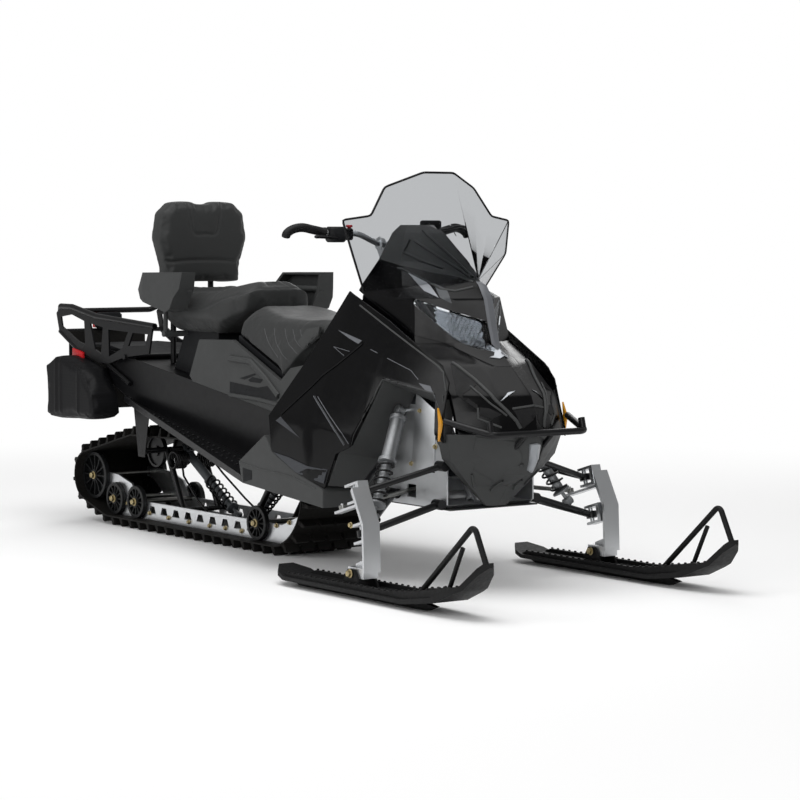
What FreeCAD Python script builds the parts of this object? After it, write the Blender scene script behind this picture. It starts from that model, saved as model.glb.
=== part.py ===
"""Two-up touring snowmobile, as an assembly of separate pieces.

Frame: +X forward, +Y to the rider's left, +Z up, millimetres. The origin is on the floor
under the middle of the machine. It stands on its skis and on the lugs of its track.
"""
import FreeCAD
import Part
import Sketcher
import math
import os

doc = FreeCAD.newDocument("snowmobile")
sheet = doc.addObject("Spreadsheet::Sheet", "dims")

# Driving dimensions: alias, millimetres (degrees where the name says so), what it is
SIZES = [
    ("gap", 0.3, "seat clearance between pieces"),
    ("overrun", 5, "how far a cut runs past the face it opens"),
    ("panel_gap", 3, "gap between body panels"),
    ("skin", 6, "body panel thickness"),
    ("plate", 4, "sheet metal thickness"),
    ("stance_half", 540, "ski centre from the middle plane"),
    ("ski_width", 156, "ski width"),
    ("ski_tail", 520, "tail end of a ski, X"),
    ("ski_tip", 1718, "tip of a ski, X"),
    ("ski_tip_high", 193, "height of the tip"),
    ("ski_deck", 58, "top face of the ski at the saddle"),
    ("ski_sole", 22, "underside of the ski above the floor, keel bar apart"),
    ("ski_keel_width", 22, "keel bar width"),
    ("ski_rib", 14, "height of the ski's upper ribs"),
    ("loop_high", 318, "top of the ski loop"),
    ("loop_radius", 10, "ski loop tube radius"),
    ("saddle_x", 990, "ski saddle bolt, X"),
    ("saddle_z", 84, "ski saddle bolt, Z"),
    ("saddle_radius", 8, "saddle bolt radius"),
    ("ear_thick", 9, "saddle ear thickness"),
    ("foot_width", 62, "spindle foot width"),
    ("kingpin_low_x", 970, "lower ball joint, X"),
    ("kingpin_low_z", 215, "lower ball joint, Z"),
    ("kingpin_high_x", 930, "upper ball joint, X"),
    ("kingpin_high_z", 350, "upper ball joint, Z"),
    ("kingpin_inset", 24, "kingpin inside the ski's centre line"),
    ("kingpin_radius", 8, "ball stud radius"),
    ("eye_radius", 20, "arm eye radius"),
    ("eye_height", 24, "arm eye height"),
    ("pin_clear", 0.3, "radial clearance of a pin"),
    ("spindle_front", 1052, "front face of the spindle, X"),
    ("spindle_width", 70, "spindle flange width"),
    ("spindle_web", 14, "spindle web thickness"),
    ("arm_radius", 13, "suspension arm tube radius"),
    ("upper_arm_radius", 11, "upper arm tube radius"),
    ("bulkhead_half", 196, "bulkhead side plate from the middle plane"),
    ("lower_front_x", 1002, "lower arm front pivot, X"),
    ("lower_front_z", 300, "lower arm front pivot, Z"),
    ("lower_rear_x", 735, "lower arm rear pivot, X"),
    ("lower_rear_z", 318, "lower arm rear pivot, Z"),
    ("upper_front_x", 1020, "upper arm front pivot, X"),
    ("upper_front_z", 437, "upper arm front pivot, Z"),
    ("upper_rear_x", 690, "upper arm rear pivot, X"),
    ("upper_rear_z", 445, "upper arm rear pivot, Z"),
    ("boss_radius", 18, "arm pivot boss radius"),
    ("boss_length", 44, "arm pivot boss length"),
    ("shock_top_x", 800, "front shock upper eye, X"),
    ("shock_top_half", 236, "front shock upper eye from the middle plane"),
    ("shock_top_z", 620, "front shock upper eye, Z"),
    ("shock_foot_x", 925, "front shock lower eye, X"),
    ("shock_foot_inset", 100, "front shock lower eye inside the ski's centre line"),
    ("shock_foot_z", 266, "front shock lower eye, Z"),
    ("shock_body_radius", 25, "front shock body radius"),
    ("shock_rod_radius", 7, "front shock rod radius"),
    ("spring_radius", 29, "front shock spring radius"),
    ("steer_arm", 95, "steering arm length on the spindle"),
    ("tie_radius", 8, "tie rod radius"),
    ("tie_outer_z", 312, "point of the kingpin axis that the steering arm leaves from, Z"),
    ("tie_inner_half", 62, "tie rod inner joint from the middle plane"),
    ("tie_inner_z", 338, "tie rod inner joint, Z"),
    ("post_foot_x", 914.234, "steering post at its lower bearing, X"),
    ("bar_z", 1216, "handlebar clamp, Z"),
    ("post_lean", 30, "steering post lean from upright, degrees"),
    ("post_radius", 16, "steering post radius"),
    ("riser_high", 110, "riser height"),
    ("bar_radius", 11, "handlebar tube radius"),
    ("bar_half", 414, "handlebar end from the middle plane"),
    ("grip_radius", 17, "grip radius"),
    ("tunnel_half", 205, "tunnel outside from the middle plane"),
    ("tunnel_rear", -1345, "tunnel rear end, X"),
    ("tunnel_front", 150, "tunnel front end, X"),
    ("tunnel_rear_top", 751, "tunnel top at the rear"),
    ("tunnel_front_top", 536, "tunnel top at the front"),
    ("board_rear", -1130, "running board rear end, X"),
    ("board_front", 52, "running board front end, X"),
    ("board_rear_z", 540, "running board at its rear end"),
    ("board_front_z", 294, "running board at the tunnel front"),
    ("board_front_half", 425, "running board outer edge at the front"),
    ("board_rear_half", 244, "running board outer edge at the rear"),
    ("board_lip", 26, "height of the running board's outer lip"),
    ("track_half", 190.5, "half the track's width"),
    ("belt", 6, "track belt thickness"),
    ("lug", 35, "track lug height"),
    ("pitch", 72.6, "track lug pitch"),
    ("lug_root", 22, "lug thickness at the belt"),
    ("lug_tip", 12, "lug thickness at its tip"),
    ("drive_x", 20, "drive axle, X"),
    ("drive_z", 330, "drive axle, Z"),
    ("drive_radius", 94, "drive sprocket radius under the belt"),
    ("idler_x", -1545, "rear idler axle, X"),
    ("idler_z", 196, "rear idler axle, Z"),
    ("idler_radius", 102, "rear idler wheel radius"),
    ("carrier_x", -1165, "upper carrier wheel axle, X"),
    ("carrier_z", 324, "upper carrier wheel axle, Z"),
    ("rail_wheel", 69, "rail wheel radius"),
    ("contact_rear", -1374, "rear end of the track's flat on the floor, X"),
    ("contact_front", -114, "front end of the track's flat on the floor, X"),
    ("rail_nose_radius", 215, "radius that the rails turn up with at the front"),
    ("rail_half", 127, "rail from the middle plane"),
    ("rail_thick", 10, "rail thickness"),
    ("slider", 12, "slider strip height under the rail"),
    ("wheel_width", 20, "rail wheel width"),
    ("axle_radius", 10, "wheel axle radius"),
    ("hub_radius", 22, "wheel hub radius"),
    ("belly_low", 290, "lowest point of the belly pan"),
    ("bumper_radius", 12, "bumper tube radius"),
    ("bumper_front", 1300, "bumper centre, X"),
    ("bumper_z", 562, "bumper centre, Z"),
    ("shield_thick", 4, "windshield thickness"),
    ("shield_top_z", 1467, "windshield top"),
    ("backrest_x", -890, "front face of the backrest, X"),
    ("backrest_thick", 86, "backrest thickness"),
    ("rack_rear", -1706, "middle of the rack's rear tube, X"),
    ("rack_half", 250, "rack side tube from the middle plane"),
    ("rack_radius", 12, "rack tube radius"),
    ("cradle_low", 284, "underside of the engine cradle"),
    ("bulkhead_front", 1048, "bulkhead front wall, X"),
    ("tower_top", 642, "top of the shock towers"),
    ("tie_x", 796, "tie rod inner joints, X"),
    ("pitman_clear", 5, "clearance between the pitman arm and the tie rod ends"),
    ("window_low", 310, "tie rod windows, underside"),
    ("window_top", 356, "tie rod windows, top"),
    ("window_rear", 792, "tie rod windows, rear end, X"),
    ("window_front", 845, "tie rod windows, front end, X"),
    ("post_foot_z", 308, "top of the post's lower bearing"),
    ("shock_eye_width", 30, "front shock eye width"),
    ("shock_eye_radius", 17, "front shock eye radius"),
    ("shock_bolt_radius", 6, "front shock bolt radius"),
    ("spring_wire", 9, "spring wire diameter"),
    ("tab_drop", 26, "how far the shock tab reaches down to the arm"),
    ("ear_clear", 1, "clearance between an ear and the eye in it"),
    ("joint_clear", 14, "clearance between a kingpin ear and the arm eye"),
    ("ear_reach", 62, "how far the spindle ears reach ahead of the kingpin"),
    ("engine_rear", 175, "engine rear face, X"),
    ("engine_front", 500, "engine front face, X"),
    ("engine_half", 182, "engine half width"),
    ("engine_top", 640, "engine top"),
    ("crown_drop", 60, "upper post bearing below the riser"),
    ("crown_high", 40, "upper post bearing length"),
    ("frame_tube", 13, "upper frame tube radius"),
    ("hood_side_half", 226, "upper edge of a side panel from the middle plane"),
    ("panel_half", 430, "widest point of the side panels from the middle plane"),
    ("panel_low", 333, "lowest point of a side panel"),
    ("panel_top", 1048, "highest point of a side panel"),
    ("panel_rear", 245, "rear edge of a side panel, X"),
    ("panel_front", 1112, "front edge of a side panel, X"),
    ("hood_rear", 480, "rear edge of the hood, X"),
    ("hood_nose", 1286, "nose of the lower fairing, X"),
    ("fairing_rear", 1056, "rear edge of the nose fairing, X"),
    ("hood_low", 556, "lower edge of the nose fairing"),
    ("cowl_high", 200, "height of the gauge cowl over its front point"),
    ("cowl_front_x", 965, "front point of the cowl's lower edge, X"),
    ("cowl_front_z", 1078, "front point of the cowl's lower edge, Z"),
    ("cowl_rear_z", 1165, "rear end of the cowl's lower edge, Z"),
    ("chin_x", 1110, "chin of the mask, X"),
    ("chin_z", 785, "chin of the mask, Z"),
    ("chin_rear_z", 1050, "rear end of the mask's lower edge, Z"),
    ("lamp_inner", 8, "inner end of a headlight from the middle plane"),
    ("lamp_outer", 200, "outer end of a headlight from the middle plane"),
    ("lamp_low", 832, "lowest point of a headlight"),
    ("lamp_top", 1030, "highest point of a headlight"),
    ("strip_rear", 520, "rear end of the strip under the mask, X"),
    ("strip_high", 110, "height of the strip under the mask at its rear end"),
    ("lamp_back", 820, "back of the headlight openings, X"),
    ("shield_foot_x", 951, "foot of the windshield, X"),
    ("shield_foot_z", 1085, "foot of the windshield, Z"),
    ("shield_top_x", 712, "top of the windshield, X"),
    ("shield_half", 377, "windshield half width"),
    ("bumper_half", 205, "bumper corner from the middle plane"),
    ("bumper_flare", 70, "how far the bumper ends spread past its corners"),
    ("bumper_rise", 40, "rise of the bumper ends"),
    ("bumper_bend", 40, "bumper bend radius"),
    ("hook_high", 44, "bumper hook height"),
    ("stay_half", 60, "bumper stay from the middle plane"),
    ("stay_back", 60, "how far the bumper stays lean back"),
    ("stay_drop", 104, "how far the bumper stays reach down"),
    ("ski_thick", 14, "ski thickness"),
    ("rail_high", 74, "slide rail height"),
    ("wheel_middle_x", -1200, "middle rail wheel, X"),
    ("wheel_front_x", -268, "front rail wheel, X"),
    ("front_arm_x", -150, "front skid arm's top pivot, X"),
    ("front_arm_z", 378, "front skid arm's top pivot, Z"),
    ("rear_arm_x", -1050, "rear skid arm's top pivot, X"),
    ("rear_arm_z", 340, "rear skid arm's top pivot, Z"),
    ("arm_reach", 220, "skid arm reach along the rails"),
    ("riser_clamp", 22, "riser clamp height"),
    ("riser_deep", 34, "riser plate depth"),
    ("riser_half", 38, "riser plate from the middle plane"),
    ("riser_thick", 9, "riser plate thickness"),
    ("bar_back", 55, "how far the bar ends sweep back"),
    ("bar_rise", 28, "rise of the bar ends"),
    ("control_long", 55, "control block length"),
    ("seat_front", 262, "front end of the seat, X"),
    ("seat_middle", -325, "where the two seats meet, X"),
    ("seat_low", 690, "lowest point of the driver seat"),
    ("seat_top", 950, "highest point of the driver seat"),
    ("seat_half", 226, "seat half width"),
    ("passenger_rear", -885, "rear end of the passenger seat, X"),
    ("passenger_low", 850, "underside of the passenger seat"),
    ("passenger_top", 1046, "top of the passenger seat"),
    ("base_half", 140, "passenger seat base half width"),
    ("base_rear", -900, "passenger seat base rear, X"),
    ("base_front", -560, "passenger seat base front, X"),
    ("backrest_half", 226, "backrest half width"),
    ("backrest_top", 1384, "top of the backrest"),
    ("tank_rear", -310, "fuel tank rear, X"),
    ("tank_front", 440, "console front end, X"),
    ("console_rear", 262.3, "console rear end, X"),
    ("tank_half", 196, "fuel tank half width"),
    ("console_top", 985, "top of the console"),
    ("trim_rear", -640, "seat trim rear end, X"),
    ("trim_front", 290, "seat trim front end, X"),
    ("trim_top", 820, "top of the seat trim"),
    ("trim_thick", 22, "seat trim thickness"),
    ("toe_rear", 10, "toe hold rear end, X"),
    ("toe_front", 600, "toe hold front end, X"),
    ("toe_low", 264, "toe hold underside"),
    ("toe_top", 502, "toe hold top"),
    ("rack_top", 898, "rack upper tube at the rear"),
    ("rack_low", 812, "rack lower tube at the rear"),
    ("rack_foot_z", 690, "second bend in the rack lower tube, Z"),
    ("rack_end_x", -1130, "front end of the rack lower tube, X"),
    ("rack_end_z", 612, "front end of the rack lower tube, Z"),
    ("rack_foot_x", -1330, "second bend in the rack lower tube, X"),
    ("rack_mid_z", 738, "bend in the rack lower tube, Z"),
    ("rack_mid_x", -1500, "bend in the rack lower tube, X"),
    ("rack_front", -870, "rack side tubes' front end, X"),
    ("rack_front_z", 862, "rack upper tube's front end, Z"),
    ("rack_drop", 120, "rack side height at the front"),
    ("rack_corner", 50, "rack corner setback"),
    ("deck_front", -1130, "cargo deck front edge, X"),
    ("deck_half", 190, "cargo deck half width"),
    ("deck_thick", 14, "cargo deck thickness"),
    ("pannier_rear", -1640, "pannier rear end, X"),
    ("pannier_front", -1228, "pannier front end, X"),
    ("pannier_low", 452, "pannier underside"),
    ("pannier_top", 716, "pannier top"),
    ("pannier_half", 336, "pannier outer face from the middle plane"),
    ("flap_low", 470, "lower edge of the snow flap"),
    ("lamp_half", 60, "tail lamp half width"),
    ("hold_rear", -956, "hand hold rear end, X"),
    ("hold_front", -590, "hand hold front end, X"),
    ("hold_low", 926, "hand hold underside"),
    ("hold_top", 1086, "hand hold top"),
    ("hold_wide", 84, "hand hold width"),
    ("hold_post_x", -800, "hand hold post, X"),
    ("hold_slide", 210, "how far ahead of the right hand hold the left one is set"),
]


class Size:
    """A length that keeps the sheet expression it comes from beside its value."""

    def __init__(self, text, value):
        self.text = text
        self.value = float(value)

    def __add__(self, other):
        other = as_size(other)
        return Size("(%s + %s)" % (self.text, other.text), self.value + other.value)

    def __sub__(self, other):
        other = as_size(other)
        return Size("(%s - %s)" % (self.text, other.text), self.value - other.value)

    def __rsub__(self, other):
        return as_size(other) - self

    def __mul__(self, share):
        share = as_size(share)
        return Size("(%s * %s)" % (self.text, share.text), self.value * share.value)

    def __truediv__(self, share):
        share = as_size(share)
        return Size("(%s / %s)" % (self.text, share.text), self.value / share.value)

    def __neg__(self):
        return Size("(0 - %s)" % self.text, -self.value)

    def __float__(self):
        return self.value

    __radd__ = __add__
    __rmul__ = __mul__


def as_size(number):
    if isinstance(number, Size):
        return number
    return Size(repr(float(number)), number)


class Names:
    """The sheet's cells by alias, each as a Size."""


d = Names()
for row, (alias, value, note) in enumerate(SIZES, start=1):
    sheet.set("A%d" % row, alias)
    sheet.set("B%d" % row, str(value))
    sheet.set("C%d" % row, note)
    sheet.setAlias("B%d" % row, alias)
    setattr(d, alias, Size("dims." + alias, value))
doc.recompute()

NONE = as_size(0)
# Sizes that follow from others
d.kingpin_half = d.stance_half - d.kingpin_inset
d.shock_foot_half = d.stance_half - d.shock_foot_inset
d.hood_top = d.cowl_front_z + d.cowl_high
d.bar_x = d.post_foot_x - (d.bar_z - d.post_foot_z) * math.tan(math.radians(float(d.post_lean)))
X_AXIS = FreeCAD.Vector(1, 0, 0)
Y_AXIS = FreeCAD.Vector(0, 1, 0)
Z_AXIS = FreeCAD.Vector(0, 0, 1)
NODES = []


def vec(x, y, z):
    return FreeCAD.Vector(float(x), float(y), float(z))


def between(low, high, share):
    """The value that lies a share of the way from low to high."""
    return low + (high - low) * share


def outline_sketch(body, name, role, points, offset=NONE):
    """A closed outline on one of the body's origin planes, each corner bound to the sheet."""
    sketch = body.newObject("Sketcher::SketchObject", name)
    plane = [item for item in body.Origin.OriginFeatures if item.Role == role][0]
    sketch.AttachmentSupport = [(plane, "")]
    sketch.MapMode = "FlatFace"
    sketch.setExpression("AttachmentOffset.Base.z", offset.text)
    corners = [(as_size(u), as_size(v)) for u, v in points]
    count = len(corners)
    for index in range(count):
        here = corners[index]
        there = corners[(index + 1) % count]
        sketch.addGeometry(Part.LineSegment(vec(here[0], here[1], 0), vec(there[0], there[1], 0)))
    for index in range(count):
        sketch.addConstraint(Sketcher.Constraint("Coincident", index, 2, (index + 1) % count, 1))
    for index, (u, v) in enumerate(corners):
        for kind, size in (("DistanceX", u), ("DistanceY", v)):
            number = sketch.addConstraint(Sketcher.Constraint(kind, -1, 1, index, 1, float(size)))
            sketch.setExpression("Constraints[%d]" % number, size.text)
    return sketch


def new_body(name):
    return doc.addObject("PartDesign::Body", name)


def pad(body, name, role, points, depth, offset=NONE, midplane=False):
    sketch = outline_sketch(body, name + "_outline", role, points, offset)
    feature = body.newObject("PartDesign::Pad", name)
    feature.Profile = sketch
    feature.setExpression("Length", as_size(depth).text)
    feature.Midplane = midplane
    return feature


def pocket(body, name, role, points, depth, offset=NONE, midplane=False):
    sketch = outline_sketch(body, name + "_outline", role, points, offset)
    feature = body.newObject("PartDesign::Pocket", name)
    feature.Profile = sketch
    feature.setExpression("Length", as_size(depth).text)
    feature.Midplane = midplane
    return feature


def prism(name, role, points, depth, offset=NONE, midplane=False):
    """A body with one pad. XZ outlines grow towards -Y, YZ outlines towards +X."""
    body = new_body(name)
    pad(body, name + "_pad", role, points, depth, offset, midplane)
    return body


def box(name, low, high):
    """A block between two corners, each a triple of sizes."""
    solid = doc.addObject("Part::Box", name)
    for prop, axis in (("Length", 0), ("Width", 1), ("Height", 2)):
        solid.setExpression(prop, (as_size(high[axis]) - as_size(low[axis])).text)
    for part, axis in (("x", 0), ("y", 1), ("z", 2)):
        solid.setExpression("Placement.Base." + part, as_size(low[axis]).text)
    return solid


def rod(name, start, end, radius, bore=None):
    """A round bar between two points, with a bore through it where one is given."""
    start = vec(*start)
    end = vec(*end)
    solid = doc.addObject("Part::Cylinder", name)
    solid.setExpression("Radius", as_size(radius).text)
    solid.Height = (end - start).Length
    turn = FreeCAD.Rotation(Z_AXIS, end - start)
    solid.Placement = FreeCAD.Placement(start, turn)
    if bore is None:
        return solid
    along = (end - start).normalize() * float(d.overrun)
    core = rod(name + "_bore", tuple(start - along), tuple(end + along), bore)
    return cut(name + "_bored", solid, [core])


def tube(name, points, radius, bend):
    """A bent bar: straight runs through the points, joined by arcs of the bend radius."""
    points = [vec(*point) for point in points]
    edges = []
    here = points[0]
    for index in range(1, len(points) - 1):
        corner = points[index]
        into = (corner - points[index - 1]).normalize()
        out = (points[index + 1] - corner).normalize()
        turn = into.getAngle(out)
        setback = float(bend) * math.tan(turn / 2)
        first = corner - into * setback
        last = corner + out * setback
        middle = corner + (out - into).normalize() * (setback / math.sin(turn / 2) - float(bend))
        edges.append(Part.makeLine(here, first))
        edges.append(Part.Arc(first, middle, last).toShape())
        here = last
    edges.append(Part.makeLine(here, points[-1]))
    path = Part.Wire(edges)
    ring = Part.Wire([Part.makeCircle(float(radius), points[0], points[1] - points[0])])
    feature = doc.addObject("Part::Feature", name)
    feature.Shape = path.makePipeShell([ring], True, False)
    return feature


def loft(name, sections):
    """A faceted solid through closed outlines, each a list of (x, y, z)."""
    wires = []
    for index, points in enumerate(sections):
        corners = [vec(*point) for point in points]
        wire = doc.addObject("Part::Feature", "%s_section_%d" % (name, index))
        wire.Shape = Part.makePolygon(corners + corners[:1])
        wires.append(wire)
    feature = doc.addObject("Part::Loft", name)
    feature.Sections = wires
    feature.Solid = True
    feature.Ruled = True
    return feature


def fuse(name, pieces):
    feature = doc.addObject("Part::MultiFuse", name)
    feature.Shapes = pieces
    feature.Refine = True
    return feature


def common(name, pieces):
    feature = doc.addObject("Part::MultiCommon", name)
    feature.Shapes = pieces
    return feature


def cut(name, base, tools):
    tool = tools[0]
    if len(tools) > 1:
        tool = fuse(name + "_tools", tools)
    feature = doc.addObject("Part::Cut", name)
    feature.Base = base
    feature.Tool = tool
    return feature


def mirror(name, source):
    """The same piece on the other side of the middle plane."""
    feature = doc.addObject("Part::Mirroring", name)
    feature.Source = source
    feature.Normal = Y_AXIS
    return feature


def node(label, *pieces):
    """Name what goes into one file. Several pieces stay separate solids."""
    if len(pieces) == 1:
        feature = pieces[0]
    else:
        feature = doc.addObject("Part::Compound", label + "_set")
        feature.Links = list(pieces)
    feature.Label = label
    NODES.append(feature)
    return feature


def both_sides(label, piece):
    return node(label, piece, mirror(label + "_left", piece))


def side_nodes(stem, piece):
    """One node on the right and its mirror on the left."""
    node(stem + "_right", piece)
    node(stem + "_left", mirror(stem + "_left_side", piece))


# Lines that several pieces share

def board_z(x):
    """Height of the running board's underside line at X."""
    share = (as_size(x) - d.board_rear) / (d.tunnel_front - d.board_rear)
    return between(d.board_rear_z, d.board_front_z, share)


def tunnel_top(x):
    share = (as_size(x) - d.tunnel_rear) / (d.tunnel_front - d.tunnel_rear)
    return between(d.tunnel_rear_top, d.tunnel_front_top, share)


def tunnel_slope():
    """Cosine of the tunnel top's slope."""
    fall = float(d.tunnel_rear_top - d.tunnel_front_top)
    return math.cos(math.atan2(fall, float(d.tunnel_front - d.tunnel_rear)))


def kingpin(z):
    """The point of the right kingpin axis at a height."""
    share = (as_size(z) - d.kingpin_low_z) / (d.kingpin_high_z - d.kingpin_low_z)
    return (between(d.kingpin_low_x, d.kingpin_high_x, share), -d.kingpin_half, as_size(z))


def make_tunnel():
    body = new_body("tunnel_body")
    outer = [
        (d.tunnel_rear, d.tunnel_rear_top),
        (d.tunnel_front, d.tunnel_front_top),
        (d.tunnel_front, board_z(d.tunnel_front)),
        (d.board_rear, board_z(d.board_rear)),
        (d.tunnel_rear, d.tunnel_rear_top - (d.tunnel_rear_top - d.board_rear_z) * 0.6),
    ]
    pad(body, "tunnel_pad", "XZ_Plane", outer, d.tunnel_half * 2, midplane=True)
    inner = [
        (d.tunnel_rear - d.overrun, tunnel_top(d.tunnel_rear - d.overrun) - d.plate),
        (d.tunnel_front + d.overrun, tunnel_top(d.tunnel_front + d.overrun) - d.plate),
        (d.tunnel_front + d.overrun, NONE),
        (d.tunnel_rear - d.overrun, NONE),
    ]
    pocket(body, "tunnel_hollow", "XZ_Plane", inner, (d.tunnel_half - d.plate) * 2, midplane=True)
    node("tunnel", body)


def make_running_boards():
    front = d.board_front
    inner = d.tunnel_half + d.gap
    strip = prism("board_strip", "XZ_Plane", [
        (d.board_rear, board_z(d.board_rear)),
        (front, board_z(front)),
        (front, board_z(front) + d.plate),
        (d.board_rear, board_z(d.board_rear) + d.plate)], d.board_front_half + d.overrun)
    plan = prism("board_plan", "XY_Plane", [
        (d.board_rear, -inner), (front, -inner), (front, -d.board_front_half),
        (d.board_rear, -d.board_rear_half)], d.tunnel_rear_top)
    flat = common("board_flat", [strip, plan])
    lip_strip = prism("board_lip_strip", "XZ_Plane", [
        (d.board_rear, board_z(d.board_rear)),
        (front, board_z(front)),
        (front, board_z(front) + d.board_lip),
        (d.board_rear, board_z(d.board_rear) + d.board_lip)], d.board_front_half + d.overrun)
    edge = d.plate * 2
    lip_plan = prism("board_lip_plan", "XY_Plane", [
        (d.board_rear, -(d.board_rear_half - edge)), (front, -(d.board_front_half - edge)),
        (front, -d.board_front_half), (d.board_rear, -d.board_rear_half)], d.tunnel_rear_top)
    lip = common("board_lip_solid", [lip_strip, lip_plan])
    board = fuse("board", [flat, lip])
    both_sides("running_boards", board)


def outline(origin, reach, shares):
    """Corners given as shares of a piece's own length and height, from its lower rear corner."""
    return [(origin[0] + reach[0] * u, origin[1] + reach[1] * v) for u, v in shares]


def make_bulkhead():
    rear = d.tunnel_front + d.gap
    low = d.cradle_low
    length = d.bulkhead_front - rear
    height = d.tower_top - low
    side_shares = [
        (0, 0), (0.95, 0), (1, 0.08), (1, 0.46), (0.92, 0.62), (0.80, 1),
        (0.68, 1), (0.66, 0.62), (0.56, 0.5), (0.5, 0.34), (0, 0.26)]
    body = new_body("bulkhead_body")
    side = outline((rear, low), (length, height), side_shares)
    pad(body, "bulkhead_pad", "XZ_Plane", side, d.bulkhead_half * 2, midplane=True)
    inner_shares = [(-0.1, 0.03), (0.98, 0.03), (0.98, 1.1), (-0.1, 1.1)]
    inner = outline((rear, low), (length, height), inner_shares)
    pocket(body, "bulkhead_hollow", "XZ_Plane", inner, (d.bulkhead_half - d.skin) * 2, midplane=True)
    window = [
        (d.window_rear, d.window_low), (d.window_front, d.window_low),
        (d.window_front, d.window_top), (d.window_rear, d.window_top)]
    wide = (d.bulkhead_half + d.overrun) * 2
    pocket(body, "tie_rod_windows", "XZ_Plane", window, wide, midplane=True)
    tower_shares = [(0.76, 0.34), (0.90, 0.34), (0.80, 0.72)]
    tower = outline((rear, low), (length, height), tower_shares)
    pocket(body, "tower_windows", "XZ_Plane", tower, wide, midplane=True)
    foot = post_point(d.post_foot_z)
    base = post_point(low + d.skin * 2.5)
    cup = rod("post_cup", base, foot, d.post_radius + d.skin, d.post_radius + d.pin_clear)
    corner_shares = [(1.03, -0.05), (0.3, -0.05), (0.5, 0.22), (0.8, 0.42), (1.03, 0.52)]
    corners = []
    for side_sign in (1, -1):
        points = [(d.bulkhead_half * side_sign * u, low + height * v) for u, v in corner_shares]
        corners.append(prism("front_corner_%d" % (side_sign + 1), "YZ_Plane", points, length,
                             offset=rear + length * 0.975))
    body = cut("bulkhead_trimmed", body, corners)
    bolts = []
    for side_sign in (1, -1):
        half = d.bulkhead_half * side_sign
        end = (d.shock_top_half + d.shock_eye_width / 2) * side_sign
        bolt = rod("shock_bolt", (d.shock_top_x, half - d.skin * side_sign, d.shock_top_z),
                   (d.shock_top_x, end, d.shock_top_z), d.shock_bolt_radius)
        bolts.append(bolt)
    node("bulkhead", fuse("bulkhead_all", [body, cup] + bolts))


def post_axis():
    return (vec(*post_point(d.bar_z)) - vec(*post_point(d.post_foot_z))).normalize()


def tie_inner_point():
    """Underside of the right tie rod's inner end, over the pitman arm."""
    return (d.tie_x, -d.tie_inner_half, d.tie_inner_z)


def post_point(z):
    """The point of the steering post's axis at a height."""
    slope = math.tan(math.radians(float(d.post_lean)))
    return (d.bar_x + (d.bar_z - z) * slope, NONE, as_size(z))


def make_engine():
    low = d.cradle_low + (d.tower_top - d.cradle_low) * 0.03 + d.gap
    node("engine_block", box("engine_box", (d.engine_rear, -d.engine_half, low),
                             (d.engine_front, d.engine_half, d.engine_top)))


def make_upper_frame():
    """Tubes from the bulkhead's side plates and towers up to the steering post's top bearing."""
    crown_z = d.bar_z - d.riser_high - d.crown_drop
    top = post_point(crown_z + d.crown_high)
    crown = rod("crown", post_point(crown_z), top, d.post_radius + d.skin * 2,
                d.post_radius + d.pin_clear)
    legs = []
    knee_z = crown_z + d.crown_high / 2
    for sign in (1, -1):
        knee = (post_point(knee_z)[0], (d.post_radius + d.skin) * sign, knee_z)
        rear_foot = (d.engine_front + d.frame_tube * 5, (d.bulkhead_half - d.skin - d.frame_tube - d.gap) * sign,
                     d.post_foot_z + d.frame_tube * 3)
        legs.append(rod("rear_leg", rear_foot, knee, d.frame_tube))
        front_foot = (d.shock_top_x, (d.bulkhead_half - d.skin - d.frame_tube - d.gap) * sign,
                      d.tower_top - d.frame_tube)
        legs.append(rod("front_leg", front_foot, knee, d.frame_tube))
    solid = fuse("upper_frame_tubes", [crown] + legs)
    core = rod("crown_core", post_point(crown_z - d.skin * 3), post_point(crown_z + d.crown_high * 2),
               d.post_radius + d.pin_clear)
    node("upper_frame", cut("upper_frame_all", solid, [core]))


def make_belly_pan():
    """Bow-shaped shell under the bumper, open at the top and at the back."""
    rear = d.bulkhead_front + d.gap
    reach = d.hood_nose - rear
    high = d.hood_low - d.gap - d.belly_low
    half = d.hood_side_half
    # up, then length and width shares of the nose, the middle of the cheek and its end
    levels = [
        (0, 0.10, (0.08, 0.10), (0.05, 0.20)), (0.28, 0.30, (0.20, 0.26), (0.10, 0.57)),
        (0.46, 0.83, (0.44, 0.34), (0.16, 0.80)), (0.66, 0.96, (0.62, 0.45), (0.20, 1.04)),
        (1, 1, (0.74, 0.535), (0.265, 1.15))]
    outer = []
    inner = []
    for up, nose, middle, cheek in levels:
        z = d.belly_low + high * up
        points = [(rear + reach * cheek[0], half * cheek[1]), (rear + reach * middle[0], half * middle[1])]
        tip = rear + reach * nose
        side = [(rear, half * cheek[1])] + points
        outer.append([(x, -y, z) for x, y in side] + [(tip, NONE, z)]
                     + [(x, y, z) for x, y in reversed(side)])
        back = rear - d.overrun
        thin = d.skin
        z_in = z + thin
        side_in = [(back, half * cheek[1] - thin)]
        for x, y in points:
            side_in.append((between(back, x, 0.94), y - thin))
        inner.append([(x, -y, z_in) for x, y in side_in] + [(tip - thin * 1.5, NONE, z_in)]
                     + [(x, y, z_in) for x, y in reversed(side_in)])
    bow_outer = loft("bow_outer", outer)
    bow = cut("bow", bow_outer, [loft("bow_inner", inner)])
    tray_top = d.cradle_low - d.gap
    tray = box("tray", (d.tunnel_front, -d.bulkhead_half, tray_top - d.plate),
               (d.bulkhead_front, d.bulkhead_half, tray_top))
    node("belly_pan", bow, tray)
    make_bumper(bow_outer)


def panel_station(x, corners):
    """One upright cross-section of the right side panel: outer skin, then inner skin."""
    outer = [(x, -y, z) for y, z in corners]
    inner = [(x, -(y - d.skin), z) for y, z in reversed(corners)]
    return outer + inner


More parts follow.
